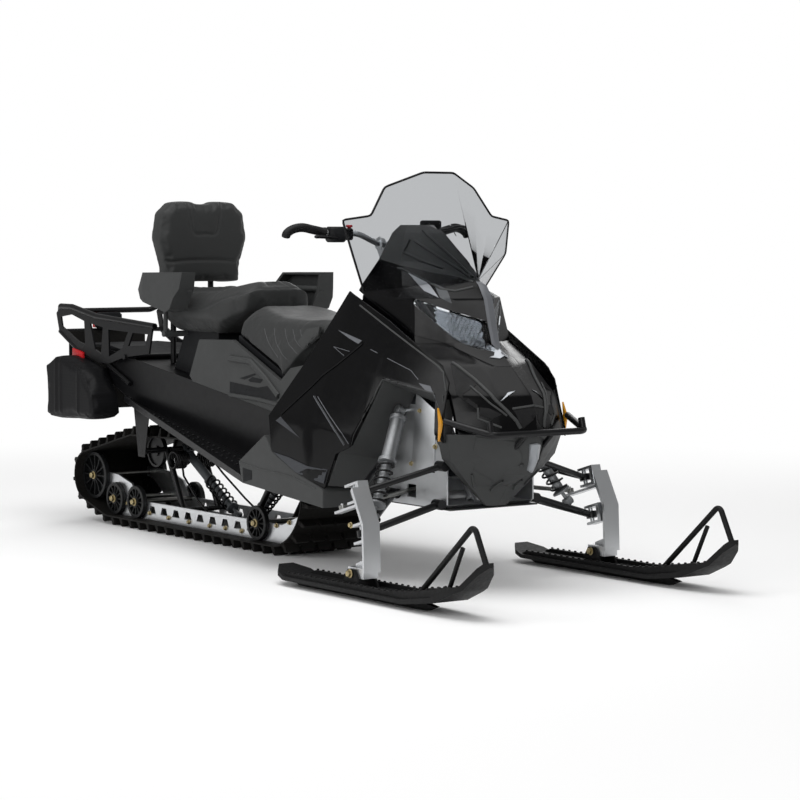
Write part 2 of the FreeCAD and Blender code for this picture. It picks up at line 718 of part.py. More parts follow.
def panel_low_edge():
    """The seam between a side panel and its toe hold, from the rear to the front."""
    reach = (d.panel_front - d.panel_rear, d.panel_top - d.panel_low)
    return outline((d.panel_rear, d.panel_low), reach, [(0.02, 0.16), (0.2, 0.07), (0.40, 0.0)])


def make_side_panels():
    top = d.hood_side_half
    wide = d.panel_half
    low = d.panel_low
    high = d.panel_top
    rise = high - low
    stations = [
        panel_station(d.panel_rear, [(top, high), (top + (wide - top) * 0.5, low + rise * 0.65),
                                     (wide, low + rise * 0.34), (wide, low)]),
        panel_station(between(d.panel_rear, d.panel_front, 0.3),
                      [(top, high), (top + (wide - top) * 0.5, low + rise * 0.62),
                       (wide, low + rise * 0.32), (wide, low)]),
        panel_station(between(d.panel_rear, d.panel_front, 0.6),
                      [(top, low + rise * 0.87), (top + (wide - top) * 0.45, low + rise * 0.58),
                       (top + (wide - top) * 0.85, low + rise * 0.28), (wide * 0.92, low)]),
        panel_station(d.panel_front, [(top, low + rise * 0.61), (top + d.skin * 3, low + rise * 0.5),
                                      (top + d.skin * 8, low + rise * 0.32),
                                      (top + d.skin * 8, low)]),
    ]
    skin = loft("panel_skin", stations)
    length = d.panel_front - d.panel_rear
    shape_shares = [
        (0.0, 0.34), (0.27, 0.985), (0.58, 0.84), (0.92, 0.635), (0.975, 0.56),
        (0.98, 0.42), (0.995, 0.27), (0.955, 0.31), (0.92, 0.50), (0.645, 0.565), (0.555, 0.22),
        (0.47, 0.18)]
    around = outline((d.panel_rear, low), (length, rise), shape_shares)
    shape = prism("panel_shape", "XZ_Plane", around + panel_low_edge()[::-1], wide + d.overrun)
    side_nodes("side_panel", common("panel_solid", [skin, shape]))


def hood_section(z, half_points):
    """A level outline of the hood from its right rear corner round the nose to the left."""
    right = [(x, -y, z) for x, y in reversed(half_points)]
    left = [(x, y, z) for x, y in half_points[1:]]
    return right + left


def hood_loft(name, inset):
    """The closed form of the hood, from the nose up to the gauge, moved in by an inset."""
    rear = d.hood_rear
    long = d.hood_nose - rear
    wide = d.hood_side_half - d.skin - d.gap
    low = d.hood_low
    rise = d.hood_top - low
    # level, then pairs of length share and width share: nose, front corner, side, rear
    form_shares = [
        (0.00, (1.0, 0), (0.925, 0.55), (0.785, 1.19), (0, 1.0)),
        (0.105, (0.985, 0), (0.905, 0.51), (0.77, 1.13), (0, 0.98)),
        (0.185, (0.955, 0), (0.875, 0.45), (0.757, 1.07), (0, 0.95)),
        (0.32, (0.815, 0), (0.75, 0.36), (0.66, 0.93), (0, 0.93)),
        (0.425, (0.70, 0), (0.56, 0.5), (0.47, 0.98), (0, 0.98)),
        (0.54, (0.672, 0), (0.545, 0.46), (0.45, 0.92), (0, 0.95)),
        (0.64, (0.648, 0), (0.53, 0.45), (0.43, 0.88), (0, 0.92)),
        (0.70, (0.605, 0), (0.46, 0.45), (0.30, 0.78), (0.02, 0.85)),
        (0.82, (0.505, 0), (0.34, 0.30), (0.20, 0.54), (0.05, 0.6)),
        (0.96, (0.33, 0), (0.25, 0.16), (0.16, 0.36), (0.08, 0.4)),
        (1.0, (0.21, 0), (0.19, 0.12), (0.16, 0.25), (0.10, 0.28)),
    ]
    sections = []
    for up, *pairs in form_shares:
        z = low + rise * up
        half = []
        for index, (u, v) in enumerate(pairs):
            x = rear + long * u - inset * 1.5
            if index == 3:
                x = rear + long * u - inset * 4
            y = wide * v - inset
            if index == 0:
                y = NONE
            half.append((x, y))
        sections.append(hood_section(z - inset, half))
    if float(inset) > 0:
        below = [(x, y, z - d.overrun * 4) for x, y, z in sections[0]]
        sections.insert(0, below)
    return loft(name, sections)


def slope_cutter(name, points):
    """Everything on one side of a slanted split line, seen from the side."""
    return prism(name, "XZ_Plane", points, d.hood_side_half * 2 + d.overrun * 2, midplane=True)


def make_hood():
    shell = cut("hood_shell", hood_loft("hood_outer", NONE), [hood_loft("hood_inner", d.skin)])
    rear = d.hood_rear - d.overrun * 4
    front = d.hood_nose + d.overrun
    top = d.hood_top + d.overrun * 4
    cowl_line = [(d.cowl_front_x, d.cowl_front_z), (rear, d.cowl_rear_z)]
    chin_line = [(d.chin_x, d.chin_z), (rear, d.chin_rear_z)]
    gap = d.gap
    cowl_zone = slope_cutter("cowl_zone", [
        cowl_line[0], (front, d.cowl_front_z), (front, top), (rear, top), cowl_line[1]])
    mask_zone = slope_cutter("mask_zone", [
        chin_line[0], (front, d.chin_z), (front, d.cowl_front_z - gap),
        (cowl_line[0][0], d.cowl_front_z - gap), (rear, d.cowl_rear_z - gap), chin_line[1]])
    strip_share = (d.chin_x - d.strip_rear) / (d.chin_x - rear)
    strip_z = between(d.chin_z, d.chin_rear_z, strip_share)
    nose_zone = slope_cutter("nose_zone", [
        (d.fairing_rear, NONE), (front, NONE), (front, d.chin_z - gap), (d.chin_x, d.chin_z - gap),
        (d.strip_rear, strip_z - gap), (d.strip_rear, strip_z - d.strip_high),
        (between(d.strip_rear, d.fairing_rear, 0.9), between(d.hood_low, d.chin_z, 0.77)),
        (d.fairing_rear, between(d.hood_low, d.chin_z, 0.68))])
    node("cowl", common("cowl_solid", [shell, cowl_zone]))
    lamp_shares = [(0, 0), (0.27, 0.07), (0.48, 0.24), (0.79, 0.6), (0.97, 0.8), (1, 0.955), (0.02, 0.545)]
    reach = d.lamp_outer - d.lamp_inner
    rise = d.lamp_top - d.lamp_low

    def lamp_zone(name, shrink):
        corners = []
        for u, v in lamp_shares:
            y = d.lamp_inner + reach * u
            z = d.lamp_low + rise * v
            middle_y = d.lamp_inner + reach * 0.5
            middle_z = d.lamp_low + rise * 0.5
            corners.append((between(middle_y, y, 1 - shrink), between(middle_z, z, 1 - shrink)))
        return prism(name, "YZ_Plane", [(-y, z) for y, z in corners], d.hood_nose, offset=d.lamp_back)

    hole = lamp_zone("lamp_hole", 0)
    hole_left = mirror("lamp_hole_left", hole)
    mask = common("mask_solid", [shell, mask_zone])
    node("nose_mask", cut("mask_cut", mask, [hole, hole_left]))
    lens = common("lens", [shell, lamp_zone("lens_zone", 0.006)])
    both_sides("headlights", lens)
    node("nose_fairing", common("fairing_solid", [shell, nose_zone]))


def make_windshield():
    """Faceted sheet whose folds fan out from a point at its foot."""
    foot = (d.shield_foot_x, NONE, d.shield_foot_z)
    rise = d.shield_top_z - d.shield_foot_z
    half = d.shield_half
    # length behind the foot, width and height, each as a share
    rim_shares = [(1.00, 0.18, 1.00), (1.22, 0.535, 0.86), (1.155, 0.725, 0.59), (1.275, 1.0, 0.55),
                  (1.19, 0.92, 0.23), (1.34, 0.72, -0.12)]
    reach = d.shield_foot_x - d.shield_top_x
    rim = [(d.shield_foot_x - reach * u, half * v, d.shield_foot_z + rise * w)
           for u, v, w in rim_shares]
    facets = []
    corners = [(x, -y, z) for x, y, z in reversed(rim)] + rim
    push = vec(-d.shield_thick * 1.5, 0, 0)
    for here, there in zip(corners, corners[1:]):
        face = Part.Face(Part.makePolygon([vec(*foot), vec(*here), vec(*there), vec(*foot)]))
        facets.append(face.extrude(push))
    feature = doc.addObject("Part::Feature", "shield_sheet")
    feature.Shape = facets[0].multiFuse(facets[1:]).removeSplitter()
    node("windshield", cut("shield_fitted", feature, [doc.getObject("hood_outer")]))


def make_bumper(bow_outer):
    z = d.bumper_z
    x = d.bumper_front
    side = d.bumper_half
    back = d.panel_front + d.bumper_radius * 0.38
    bar = tube("bumper_bar", [
        (back, -side - d.bumper_flare, z + d.bumper_rise), (x, -side, z), (x, side, z), (back, side + d.bumper_flare, z + d.bumper_rise)], d.bumper_radius, d.bumper_bend)
    parts = [bar]
    for sign in (1, -1):
        hook = rod("hook", (x - d.bumper_radius, side * sign, z),
                   (x - d.bumper_radius * 2, side * sign, z + d.hook_high), d.bumper_radius)
        stay = rod("stay", (x, d.stay_half * sign, z),
                   (x - d.stay_back * 2, d.stay_half * sign, z - d.stay_drop), d.bumper_radius * 0.8)
        parts += [hook, stay]
    node("front_bumper", cut("bumper_trimmed", fuse("bumper_all", parts), [bow_outer]))


def make_arms():
    lower_eye = kingpin(d.kingpin_low_z)
    upper_eye = kingpin(d.kingpin_high_z)
    inner_y = -(d.bulkhead_half + d.boss_radius + d.gap)
    for label, eye, radius, pivots in (
            ("lower_arms", lower_eye, d.arm_radius,
             ((d.lower_front_x, d.lower_front_z), (d.lower_rear_x, d.lower_rear_z))),
            ("upper_arms", upper_eye, d.upper_arm_radius,
             ((d.upper_front_x, d.upper_front_z), (d.upper_rear_x, d.upper_rear_z)))):
        half = d.eye_height / 2
        parts = [rod(label + "_eye", kingpin_along(eye, -half), kingpin_along(eye, half), d.eye_radius)]
        for x, z in pivots:
            parts.append(rod(label + "_tube", eye, (x, inner_y, z), radius))
            parts.append(rod(label + "_boss", (x - d.boss_length / 2, inner_y, z),
                             (x + d.boss_length / 2, inner_y, z), d.boss_radius))
        solid = fuse(label + "_tubes", parts)
        core = rod(label + "_core", kingpin_along(eye, -d.eye_height), kingpin_along(eye, d.eye_height),
                   d.kingpin_radius + d.pin_clear)
        if label == "lower_arms":
            foot = (d.shock_foot_x, -d.shock_foot_half, d.shock_foot_z)
            tab = rod("shock_tab", (d.shock_foot_x, -d.shock_foot_half, d.shock_foot_z - d.tab_drop),
                      foot, d.arm_radius)
            solid = fuse("lower_arm_tab", [solid, tab])
        both_sides(label, cut(label + "_right", solid, [core]))


def kingpin_axis():
    low = vec(*kingpin(d.kingpin_low_z))
    high = vec(*kingpin(d.kingpin_high_z))
    return (high - low).normalize()


def kingpin_along(point, length):
    """A point moved along the kingpin axis."""
    return tuple(vec(*point) + kingpin_axis() * float(length))


def axis_points(name_start, name_end, share):
    start = vec(*name_start)
    end = vec(*name_end)
    return start + (end - start) * share


def coil_discs(name, top, foot, span, count, radius):
    """A spring drawn as a row of discs, one for each coil."""
    discs = []
    along = (vec(*foot) - vec(*top)).normalize() * float(d.spring_wire)
    for number in range(count):
        start = axis_points(top, foot, between(span[0], span[1], number / count))
        discs.append(rod("%s_coil_%d" % (name, number), tuple(start), tuple(start + along), radius))
    return discs


def make_front_shocks():
    top = (d.shock_top_x, -d.shock_top_half, d.shock_top_z)
    foot_z = d.shock_foot_z + d.arm_radius + d.gap
    foot = (d.shock_foot_x, -d.shock_foot_half, foot_z)
    parts = [
        rod("shock_eye", (d.shock_top_x, -(d.shock_top_half + d.shock_eye_width / 2), d.shock_top_z),
            (d.shock_top_x, -(d.shock_top_half - d.shock_eye_width / 2), d.shock_top_z),
            d.shock_eye_radius),
        rod("shock_body", tuple(axis_points(top, foot, 0.03)), tuple(axis_points(top, foot, 0.52)),
            d.shock_body_radius),
        rod("shock_rod", tuple(axis_points(top, foot, 0.5)), foot, d.shock_rod_radius),
        rod("spring_core", tuple(axis_points(top, foot, 0.5)), tuple(axis_points(top, foot, 0.9)),
            d.spring_radius - d.spring_wire),
    ]
    parts += coil_discs("spring", top, foot, (0.52, 0.9), 8, d.spring_radius)
    solid = fuse("shock_solid", parts)
    bolt = rod("shock_bolt_core", (d.shock_top_x, -d.shock_top_half * 2, d.shock_top_z),
               (d.shock_top_x, NONE, d.shock_top_z), d.shock_bolt_radius + d.pin_clear)
    both_sides("front_shocks", cut("shock_right", solid, [bolt]))


def lean_outline(point, rows):
    """Corners given along the kingpin (first) and ahead of it (second), in the side view."""
    axis = kingpin_axis()
    ahead = FreeCAD.Vector(axis.z, 0, -axis.x)
    corners = []
    for along, forward in rows:
        corner = vec(*point) + axis * float(along) + ahead * float(forward)
        corners.append((corner.x, corner.z))
    return corners


def make_spindles():
    web_y = d.stance_half - d.spindle_web / 2
    front = d.spindle_front
    low = d.saddle_z
    web_shares = [(-0.30, -0.06), (0.55, -0.06), (1.15, 0.06), (1.02, 0.60), (-0.05, 1.02),
                  (-0.55, 1.00), (-0.55, 0.90), (0.1, 0.86), (0.55, 0.58), (0.45, 0.16), (-0.30, 0.10)]
    reach = (front - d.saddle_x, d.kingpin_high_z + d.eye_height - low)
    web = prism("spindle_web_plate", "XZ_Plane", outline((d.saddle_x, low), reach, web_shares),
                d.spindle_web, offset=web_y)
    flange_shares = [(1.0, 0.02), (1.15, 0.02), (1.02, 0.60), (-0.05, 1.02), (-0.2, 0.98), (0.86, 0.58)]
    flange = prism("spindle_flange", "XZ_Plane", outline((d.saddle_x, low), reach, flange_shares),
                   d.spindle_width, offset=d.stance_half - d.spindle_width / 2)
    foot_half = d.foot_width / 2
    foot = box("spindle_foot", (d.saddle_x - d.foot_width / 2, -(d.stance_half + foot_half),
                                d.saddle_z - d.foot_width / 4),
               (d.spindle_front, -(d.stance_half - foot_half), d.saddle_z + d.foot_width / 3))
    parts = [web, flange, foot]
    half = d.eye_height / 2
    ear_start = d.kingpin_half - d.kingpin_radius * 1.6
    ear_depth = d.stance_half + d.spindle_web / 2 - ear_start
    for name, height in (("low", d.kingpin_low_z), ("high", d.kingpin_high_z)):
        point = kingpin(height)
        for place, along in (("under", -half - d.joint_clear - d.ear_thick), ("over", half + d.joint_clear)):
            rows = [(along, -d.eye_radius), (along, d.ear_reach), (along + d.ear_thick, d.ear_reach),
                    (along + d.ear_thick, -d.eye_radius)]
            parts.append(prism("ear_%s_%s" % (name, place), "XZ_Plane",
                               lean_outline(point, rows), ear_depth, offset=ear_start))
        parts.append(rod("stud_" + name, kingpin_along(point, -half - d.joint_clear - d.ear_thick),
                         kingpin_along(point, half + d.joint_clear + d.ear_thick), d.kingpin_radius))
        fill_start = d.ear_reach * 0.72
        reach_along = half + d.joint_clear + d.ear_thick
        rows = [(-reach_along, fill_start), (-reach_along, d.ear_reach), (reach_along, d.ear_reach),
                (reach_along, fill_start)]
        parts.append(prism("ear_%s_back" % name, "XZ_Plane", lean_outline(point, rows), ear_depth,
                           offset=ear_start))
    arm_point = kingpin(d.tie_outer_z)
    arm_rows = [(-d.ear_thick, -d.steer_arm - d.eye_radius), (-d.ear_thick, d.ear_reach),
                (NONE, d.ear_reach), (NONE, -d.steer_arm - d.eye_radius)]
    parts.append(prism("steering_arm", "XZ_Plane", lean_outline(arm_point, arm_rows),
                       d.stance_half - d.kingpin_half + d.tie_radius, offset=d.kingpin_half - d.tie_radius))
    pin = tie_pivot()
    parts.append(rod("tie_stud", kingpin_along(pin, -d.ear_thick), kingpin_along(pin, d.eye_height),
                     d.tie_radius * 0.6))
    solid = fuse("spindle_solid", parts)
    bore = rod("saddle_bore", (d.saddle_x, -(d.stance_half + d.foot_width), d.saddle_z),
               (d.saddle_x, -(d.stance_half - d.foot_width), d.saddle_z),
               d.saddle_radius + d.pin_clear)
    side_nodes("spindle", cut("spindle_bored", solid, [bore]))


def tie_pivot():
    """Outer joint of the right tie rod, on the spindle's steering arm."""
    axis = kingpin_axis()
    ahead = FreeCAD.Vector(axis.z, 0, -axis.x)
    return tuple(vec(*kingpin(d.tie_outer_z)) - ahead * float(d.steer_arm))


def make_tie_rods():
    pin = tie_pivot()
    start = kingpin_along(pin, d.ear_clear)
    end = kingpin_along(pin, d.ear_clear + d.tie_radius * 2)
    eye = rod("tie_eye", start, end, d.tie_radius * 1.6)
    middle = kingpin_along(pin, d.ear_clear + d.tie_radius)
    seat = vec(*tie_inner_point())
    inner = seat + post_axis() * float(d.tie_radius * 1.75)
    link = rod("tie_link", middle, tuple(inner), d.tie_radius)
    ball_top = seat + post_axis() * float(d.tie_radius * 3)
    ball = rod("tie_ball", tuple(seat), tuple(ball_top), d.tie_radius * 1.6)
    solid = fuse("tie_rod_solid", [eye, link, ball])
    core = rod("tie_core", kingpin_along(pin, -d.tie_radius), kingpin_along(pin, d.eye_height * 2),
               d.tie_radius * 0.6 + d.pin_clear)
    side_nodes("tie_rod", cut("tie_rod_bored", solid, [core]))


def make_skis():
    length = d.ski_tip - d.ski_tail
    body = new_body("ski_blade")
    sole = d.ski_sole
    thick = d.ski_thick
    blade = [
        (d.ski_tail, sole + thick * 2.2), (d.ski_tail + length * 0.08, sole),
        (d.ski_tail + length * 0.68, sole), (d.ski_tail + length * 0.82, sole + thick * 1.6),
        (d.ski_tail + length * 0.93, sole + thick * 5.6), (d.ski_tip, d.ski_tip_high - thick),
        (d.ski_tip - thick, d.ski_tip_high), (d.ski_tail + length * 0.92, sole + thick * 6.6),
        (d.ski_tail + length * 0.80, sole + thick * 2.7), (d.ski_tail + length * 0.67, sole + thick),
        (d.ski_tail + length * 0.085, sole + thick), (d.ski_tail + thick / 2, sole + thick * 3.2)]
    pad(body, "ski_pad", "XZ_Plane", blade, d.ski_width, offset=d.stance_half - d.ski_width / 2)
    half_shares = [(0, 0.32), (0.05, 0.9), (0.1, 1), (0.75, 1), (0.9, 0.82), (0.975, 0.45), (1, 0.1)]
    right = [(d.ski_tail + length * u, -(d.stance_half + d.ski_width / 2 * v)) for u, v in half_shares]
    left = [(d.ski_tail + length * u, -(d.stance_half - d.ski_width / 2 * v)) for u, v in half_shares]
    plan = prism("ski_plan", "XY_Plane", right + left[::-1], d.loop_high + d.overrun)
    form = common("ski_form", [body, plan])
    keel_shares = [(0.04, 0.9), (0.09, 0), (0.72, 0), (0.76, 0.8), (0.70, 1.3), (0.06, 1.3)]
    keel = prism("ski_keel", "XZ_Plane", outline((d.ski_tail, NONE), (length, sole), keel_shares),
                 d.ski_keel_width, offset=d.stance_half - d.ski_keel_width / 2)
    parts = [form, keel]
    for sign in (1, -1):
        rib_y = d.stance_half + d.ski_width * 0.36 * sign
        rib_shares = [(0.07, 0), (0.10, 1), (0.60, 1.3), (0.70, 2.3), (0.80, 3.6), (0.87, 4.9),
                      (0.89, 4.6), (0.80, 1.2), (0.68, 0)]
        rib = outline((d.ski_tail, sole + thick - d.gap), (length, d.ski_rib), rib_shares)
        parts.append(prism("ski_rib_%d" % sign, "XZ_Plane", rib, thick, offset=rib_y - thick / 2))
        ear_y = d.stance_half + (d.foot_width / 2 + d.ear_thick / 2 + d.ear_clear) * sign
        ear_half = d.foot_width * 0.6
        ear = [(d.saddle_x - d.foot_width, sole + thick / 2), (d.saddle_x + d.foot_width, sole + thick / 2),
               (d.saddle_x + ear_half / 2, d.saddle_z + d.saddle_radius * 1.8),
               (d.saddle_x - ear_half / 2, d.saddle_z + d.saddle_radius * 1.8)]
        parts.append(prism("saddle_ear_%d" % sign, "XZ_Plane", ear, d.ear_thick,
                           offset=ear_y - d.ear_thick / 2))
    reach = d.foot_width / 2 + d.ear_thick + d.ear_clear
    parts.append(rod("saddle_bolt", (d.saddle_x, -(d.stance_half + reach), d.saddle_z),
                     (d.saddle_x, -(d.stance_half - reach), d.saddle_z), d.saddle_radius))
    top = d.loop_high - d.loop_radius
    peak = d.ski_tail + length * 0.925
    loop = tube("ski_loop", [
        (d.ski_tail + length * 0.66, -d.stance_half, sole + thick * 0.7),
        (peak, -d.stance_half, top),
        (d.ski_tip - thick * 1.5, -d.stance_half, d.ski_tip_high - thick * 1.2)],
        d.loop_radius, d.loop_radius * 2)
    brace = rod("ski_loop_brace", (d.ski_tail + length * 0.80, -d.stance_half, sole + thick * 1.9),
                (d.ski_tail + length * 0.875, -d.stance_half, between(sole, top, 0.72)),
                d.loop_radius * 0.8)
    side_nodes("ski", fuse("ski_solid", parts + [loop, brace]))


def belt_circles():
    """Circles that the track's inside runs round, in order from the floor up at the back."""
    floor = d.lug + d.belt
    return [
        (float(d.contact_rear), float(floor + d.rail_wheel), float(d.rail_wheel)),
        (float(d.idler_x), float(d.idler_z), float(d.idler_radius)),
        (float(d.carrier_x), float(d.carrier_z), float(d.rail_wheel)),
        (float(d.drive_x), float(d.drive_z), float(d.drive_radius)),
        (float(d.contact_front), float(floor + d.rail_nose_radius), float(d.rail_nose_radius)),
    ]


def belt_runs(grow):
    """Straight runs and arcs of the track at a distance outside its inner face, clockwise."""
    circles = belt_circles()
    count = len(circles)
    touches = []
    for index in range(count):
        ax, az, ar = circles[index]
        bx, bz, br = circles[(index + 1) % count]
        gap = math.hypot(bx - ax, bz - az)
        heading = math.atan2(bz - az, bx - ax)
        lean = math.acos((ar - br) / gap)
        side = heading + lean
        touches.append(side)
    runs = []
    for index in range(count):
        cx, cz, radius = circles[index]
        radius += float(grow)
        start = touches[index - 1]
        end = touches[index]
        while end > start:
            end -= 2 * math.pi
        runs.append(("arc", cx, cz, radius, start, end))
        nx, nz, near = circles[(index + 1) % count]
        near += float(grow)
        runs.append(("line", cx + radius * math.cos(end), cz + radius * math.sin(end),
                     nx + near * math.cos(end), nz + near * math.sin(end)))
    return runs


def run_length(run):
    if run[0] == "arc":
        return run[3] * (run[4] - run[5])
    return math.hypot(run[3] - run[1], run[4] - run[2])


def point_on_belt(runs, distance):
    """Place and outward direction on the track's path, a distance from its start."""
    for run in runs:
        long = run_length(run)
        if distance <= long:
            if run[0] == "arc":
                angle = run[4] - distance / run[3]
                out = (math.cos(angle), math.sin(angle))
                return (run[1] + run[3] * out[0], run[2] + run[3] * out[1]), out
            share = distance / long
            along = ((run[3] - run[1]) / long, (run[4] - run[2]) / long)
            place = (run[1] + (run[3] - run[1]) * share, run[2] + (run[4] - run[2]) * share)
            return place, (-along[1], along[0])
        distance -= long
    return point_on_belt(runs, 0)


def belt_face(runs):
    edges = []
    for run in runs:
        if run[0] == "arc":
            middle = (run[4] + run[5]) / 2
            points = []
            for angle in (run[4], middle, run[5]):
                points.append(vec(run[1] + run[3] * math.cos(angle), 0, run[2] + run[3] * math.sin(angle)))
            edges.append(Part.Arc(*points).toShape())
        else:
            edges.append(Part.makeLine(vec(run[1], 0, run[2]), vec(run[3], 0, run[4])))
    return Part.Face(Part.Wire(edges))


def make_track():
    outer_runs = belt_runs(d.belt)
    total = sum(run_length(run) for run in outer_runs)
    count = round(total / float(d.pitch))
    step = total / count
    corners = []
    for number in range(count):
        middle = (number + 0.5) * step
        for shift, rise in ((-d.lug_root / 2, NONE), (-d.lug_tip / 2, d.lug),
                            (d.lug_tip / 2, d.lug), (d.lug_root / 2, NONE)):
            base = middle + float(d.lug_root / 2) * (1 if float(shift) > 0 else -1)
            place, out = point_on_belt(outer_runs, base)
            if float(rise) > 0:
                centre, out = point_on_belt(outer_runs, middle)
                along = (out[1], -out[0])
                place = (centre[0] + out[0] * float(rise) + along[0] * float(shift),
                         centre[1] + out[1] * float(rise) + along[1] * float(shift))
            corners.append(vec(place[0], 0, place[1]))
        place, out = point_on_belt(outer_runs, (number + 1) * step)
        corners.append(vec(place[0], 0, place[1]))
    print("track loop %.0f mm, %d lugs" % (total, count))
    toothed = doc.addObject("Part::Feature", "track_outline")
    toothed.Shape = Part.Face(Part.makePolygon(corners + corners[:1]))
    inside = doc.addObject("Part::Feature", "track_inside")
    inside.Shape = belt_face(belt_runs(NONE))
    solids = []
    for name, source, grow in (("track_body", toothed, NONE), ("track_hole", inside, d.overrun)):
        feature = doc.addObject("Part::Extrusion", name)
        feature.Base = source
        feature.DirMode = "Custom"
        feature.Dir = Y_AXIS
        feature.Symmetric = True
        feature.setExpression("LengthFwd", ((d.track_half + grow) * 2).text)
        solids.append(feature)
    node("track", cut("track_solid", solids[0], [solids[1]]))


def make_rails():
    floor = d.lug + d.belt + d.gap
    top = floor + d.rail_high
    nose = d.contact_front + d.rail_nose_radius * 0.55
    tip_x = d.idler_x + d.hub_radius
    outer = [
        (d.contact_rear + d.rail_wheel / 2, floor), (d.contact_front, floor),
        (d.contact_front + d.rail_nose_radius * 0.34, floor + d.rail_nose_radius * 0.10),
        (nose, floor + d.rail_nose_radius * 0.24),
        (nose + d.rail_high * 0.3, floor + d.rail_nose_radius * 0.45),
        (nose, floor + d.rail_nose_radius * 0.55),
        (d.contact_front, top), (d.contact_rear + d.rail_wheel * 2.4, top),
        (d.contact_rear + d.rail_wheel * 1.6, top + d.rail_high * 0.9),
        (d.contact_rear, d.idler_z + d.rail_high * 0.2),
        (tip_x, d.idler_z + d.hub_radius), (tip_x - d.hub_radius * 2, d.idler_z + d.hub_radius),
        (tip_x - d.hub_radius * 2, d.idler_z - d.hub_radius),
        (tip_x, d.idler_z - d.hub_radius), (d.contact_rear, floor + d.rail_high * 0.5)]
    body = new_body("rail_body")
    pad(body, "rail_pad", "XZ_Plane", outer, d.rail_thick, offset=d.rail_half - d.rail_thick / 2)
    span = d.contact_front - d.contact_rear
    windows = 9
    for number in range(windows):
        start = d.contact_rear + span * (0.2 + 0.075 * number)
        slot = [
            (start, floor + d.rail_high * 0.38), (start + span * 0.045, floor + d.rail_high * 0.38),
            (start + span * 0.035, floor + d.rail_high * 0.78), (start + span * 0.01, floor + d.rail_high * 0.78)]
        deep = d.rail_thick + d.overrun * 2
        cutter = pocket(body, "rail_window_%d" % number, "XZ_Plane", slot, deep,
                        offset=d.rail_half - deep / 2)
        cutter.Reversed = True
    bores = []
    for x, z in wheel_places() + [(d.idler_x, d.idler_z)]:
        bores.append(rod("rail_bore", (x, -d.tunnel_half, z), (x, NONE, z), d.axle_radius + d.gap))
    both_sides("slide_rails", cut("rail_right", body, bores))


def wheel_places():
    z = d.lug + d.belt + d.gap + d.rail_wheel
    return [(d.contact_rear, z), (d.wheel_middle_x, z), (d.wheel_front_x, z)]


def wheel(name, x, y, z, radius):
    half = d.wheel_width / 2
    rim = rod(name + "_rim", (x, y - half, z), (x, y + half, z), radius)
    hollow = radius - d.wheel_width * 0.5
    cuts = []
    for sign in (1, -1):
        cuts.append(rod(name + "_dish", (x, y + half * 1.5 * sign, z), (x, y + half * 0.3 * sign, z), hollow))
    dish = cut(name + "_dished", rim, cuts)
    hub = rod(name + "_hub", (x, y - half, z), (x, y + half, z), d.hub_radius)
    return fuse(name, [dish, hub])


def make_wheels():
    solids = []
    places = [(x, z, d.rail_wheel) for x, z in wheel_places()]
    places.append((d.idler_x, d.idler_z, d.idler_radius - d.gap))
    for number, (x, z, radius) in enumerate(places):
        y = d.rail_half + d.rail_thick / 2 + d.gap + d.wheel_width / 2
        parts = [rod("axle_%d" % number, (x, -y - d.wheel_width, z), (x, y + d.wheel_width, z), d.axle_radius)]
        for sign in (1, -1):
            parts.append(wheel("wheel_%d_%d" % (number, sign + 1), x, y * sign, z, radius))
        solids.append(fuse("wheel_set_%d" % number, parts))
    node("rail_wheels", *solids)


def make_drive():
    end = d.tunnel_half - d.plate - d.gap
    parts = [rod("drive_shaft", (d.drive_x, -end, d.drive_z), (d.drive_x, end, d.drive_z), d.axle_radius * 1.3)]
    for sign in (1, -1):
        parts.append(wheel("sprocket_%d" % (sign + 1), d.drive_x, d.rail_half * 0.6 * sign, d.drive_z,
                           d.drive_radius - d.gap))
    node("drive_axle", fuse("drive_all", parts))


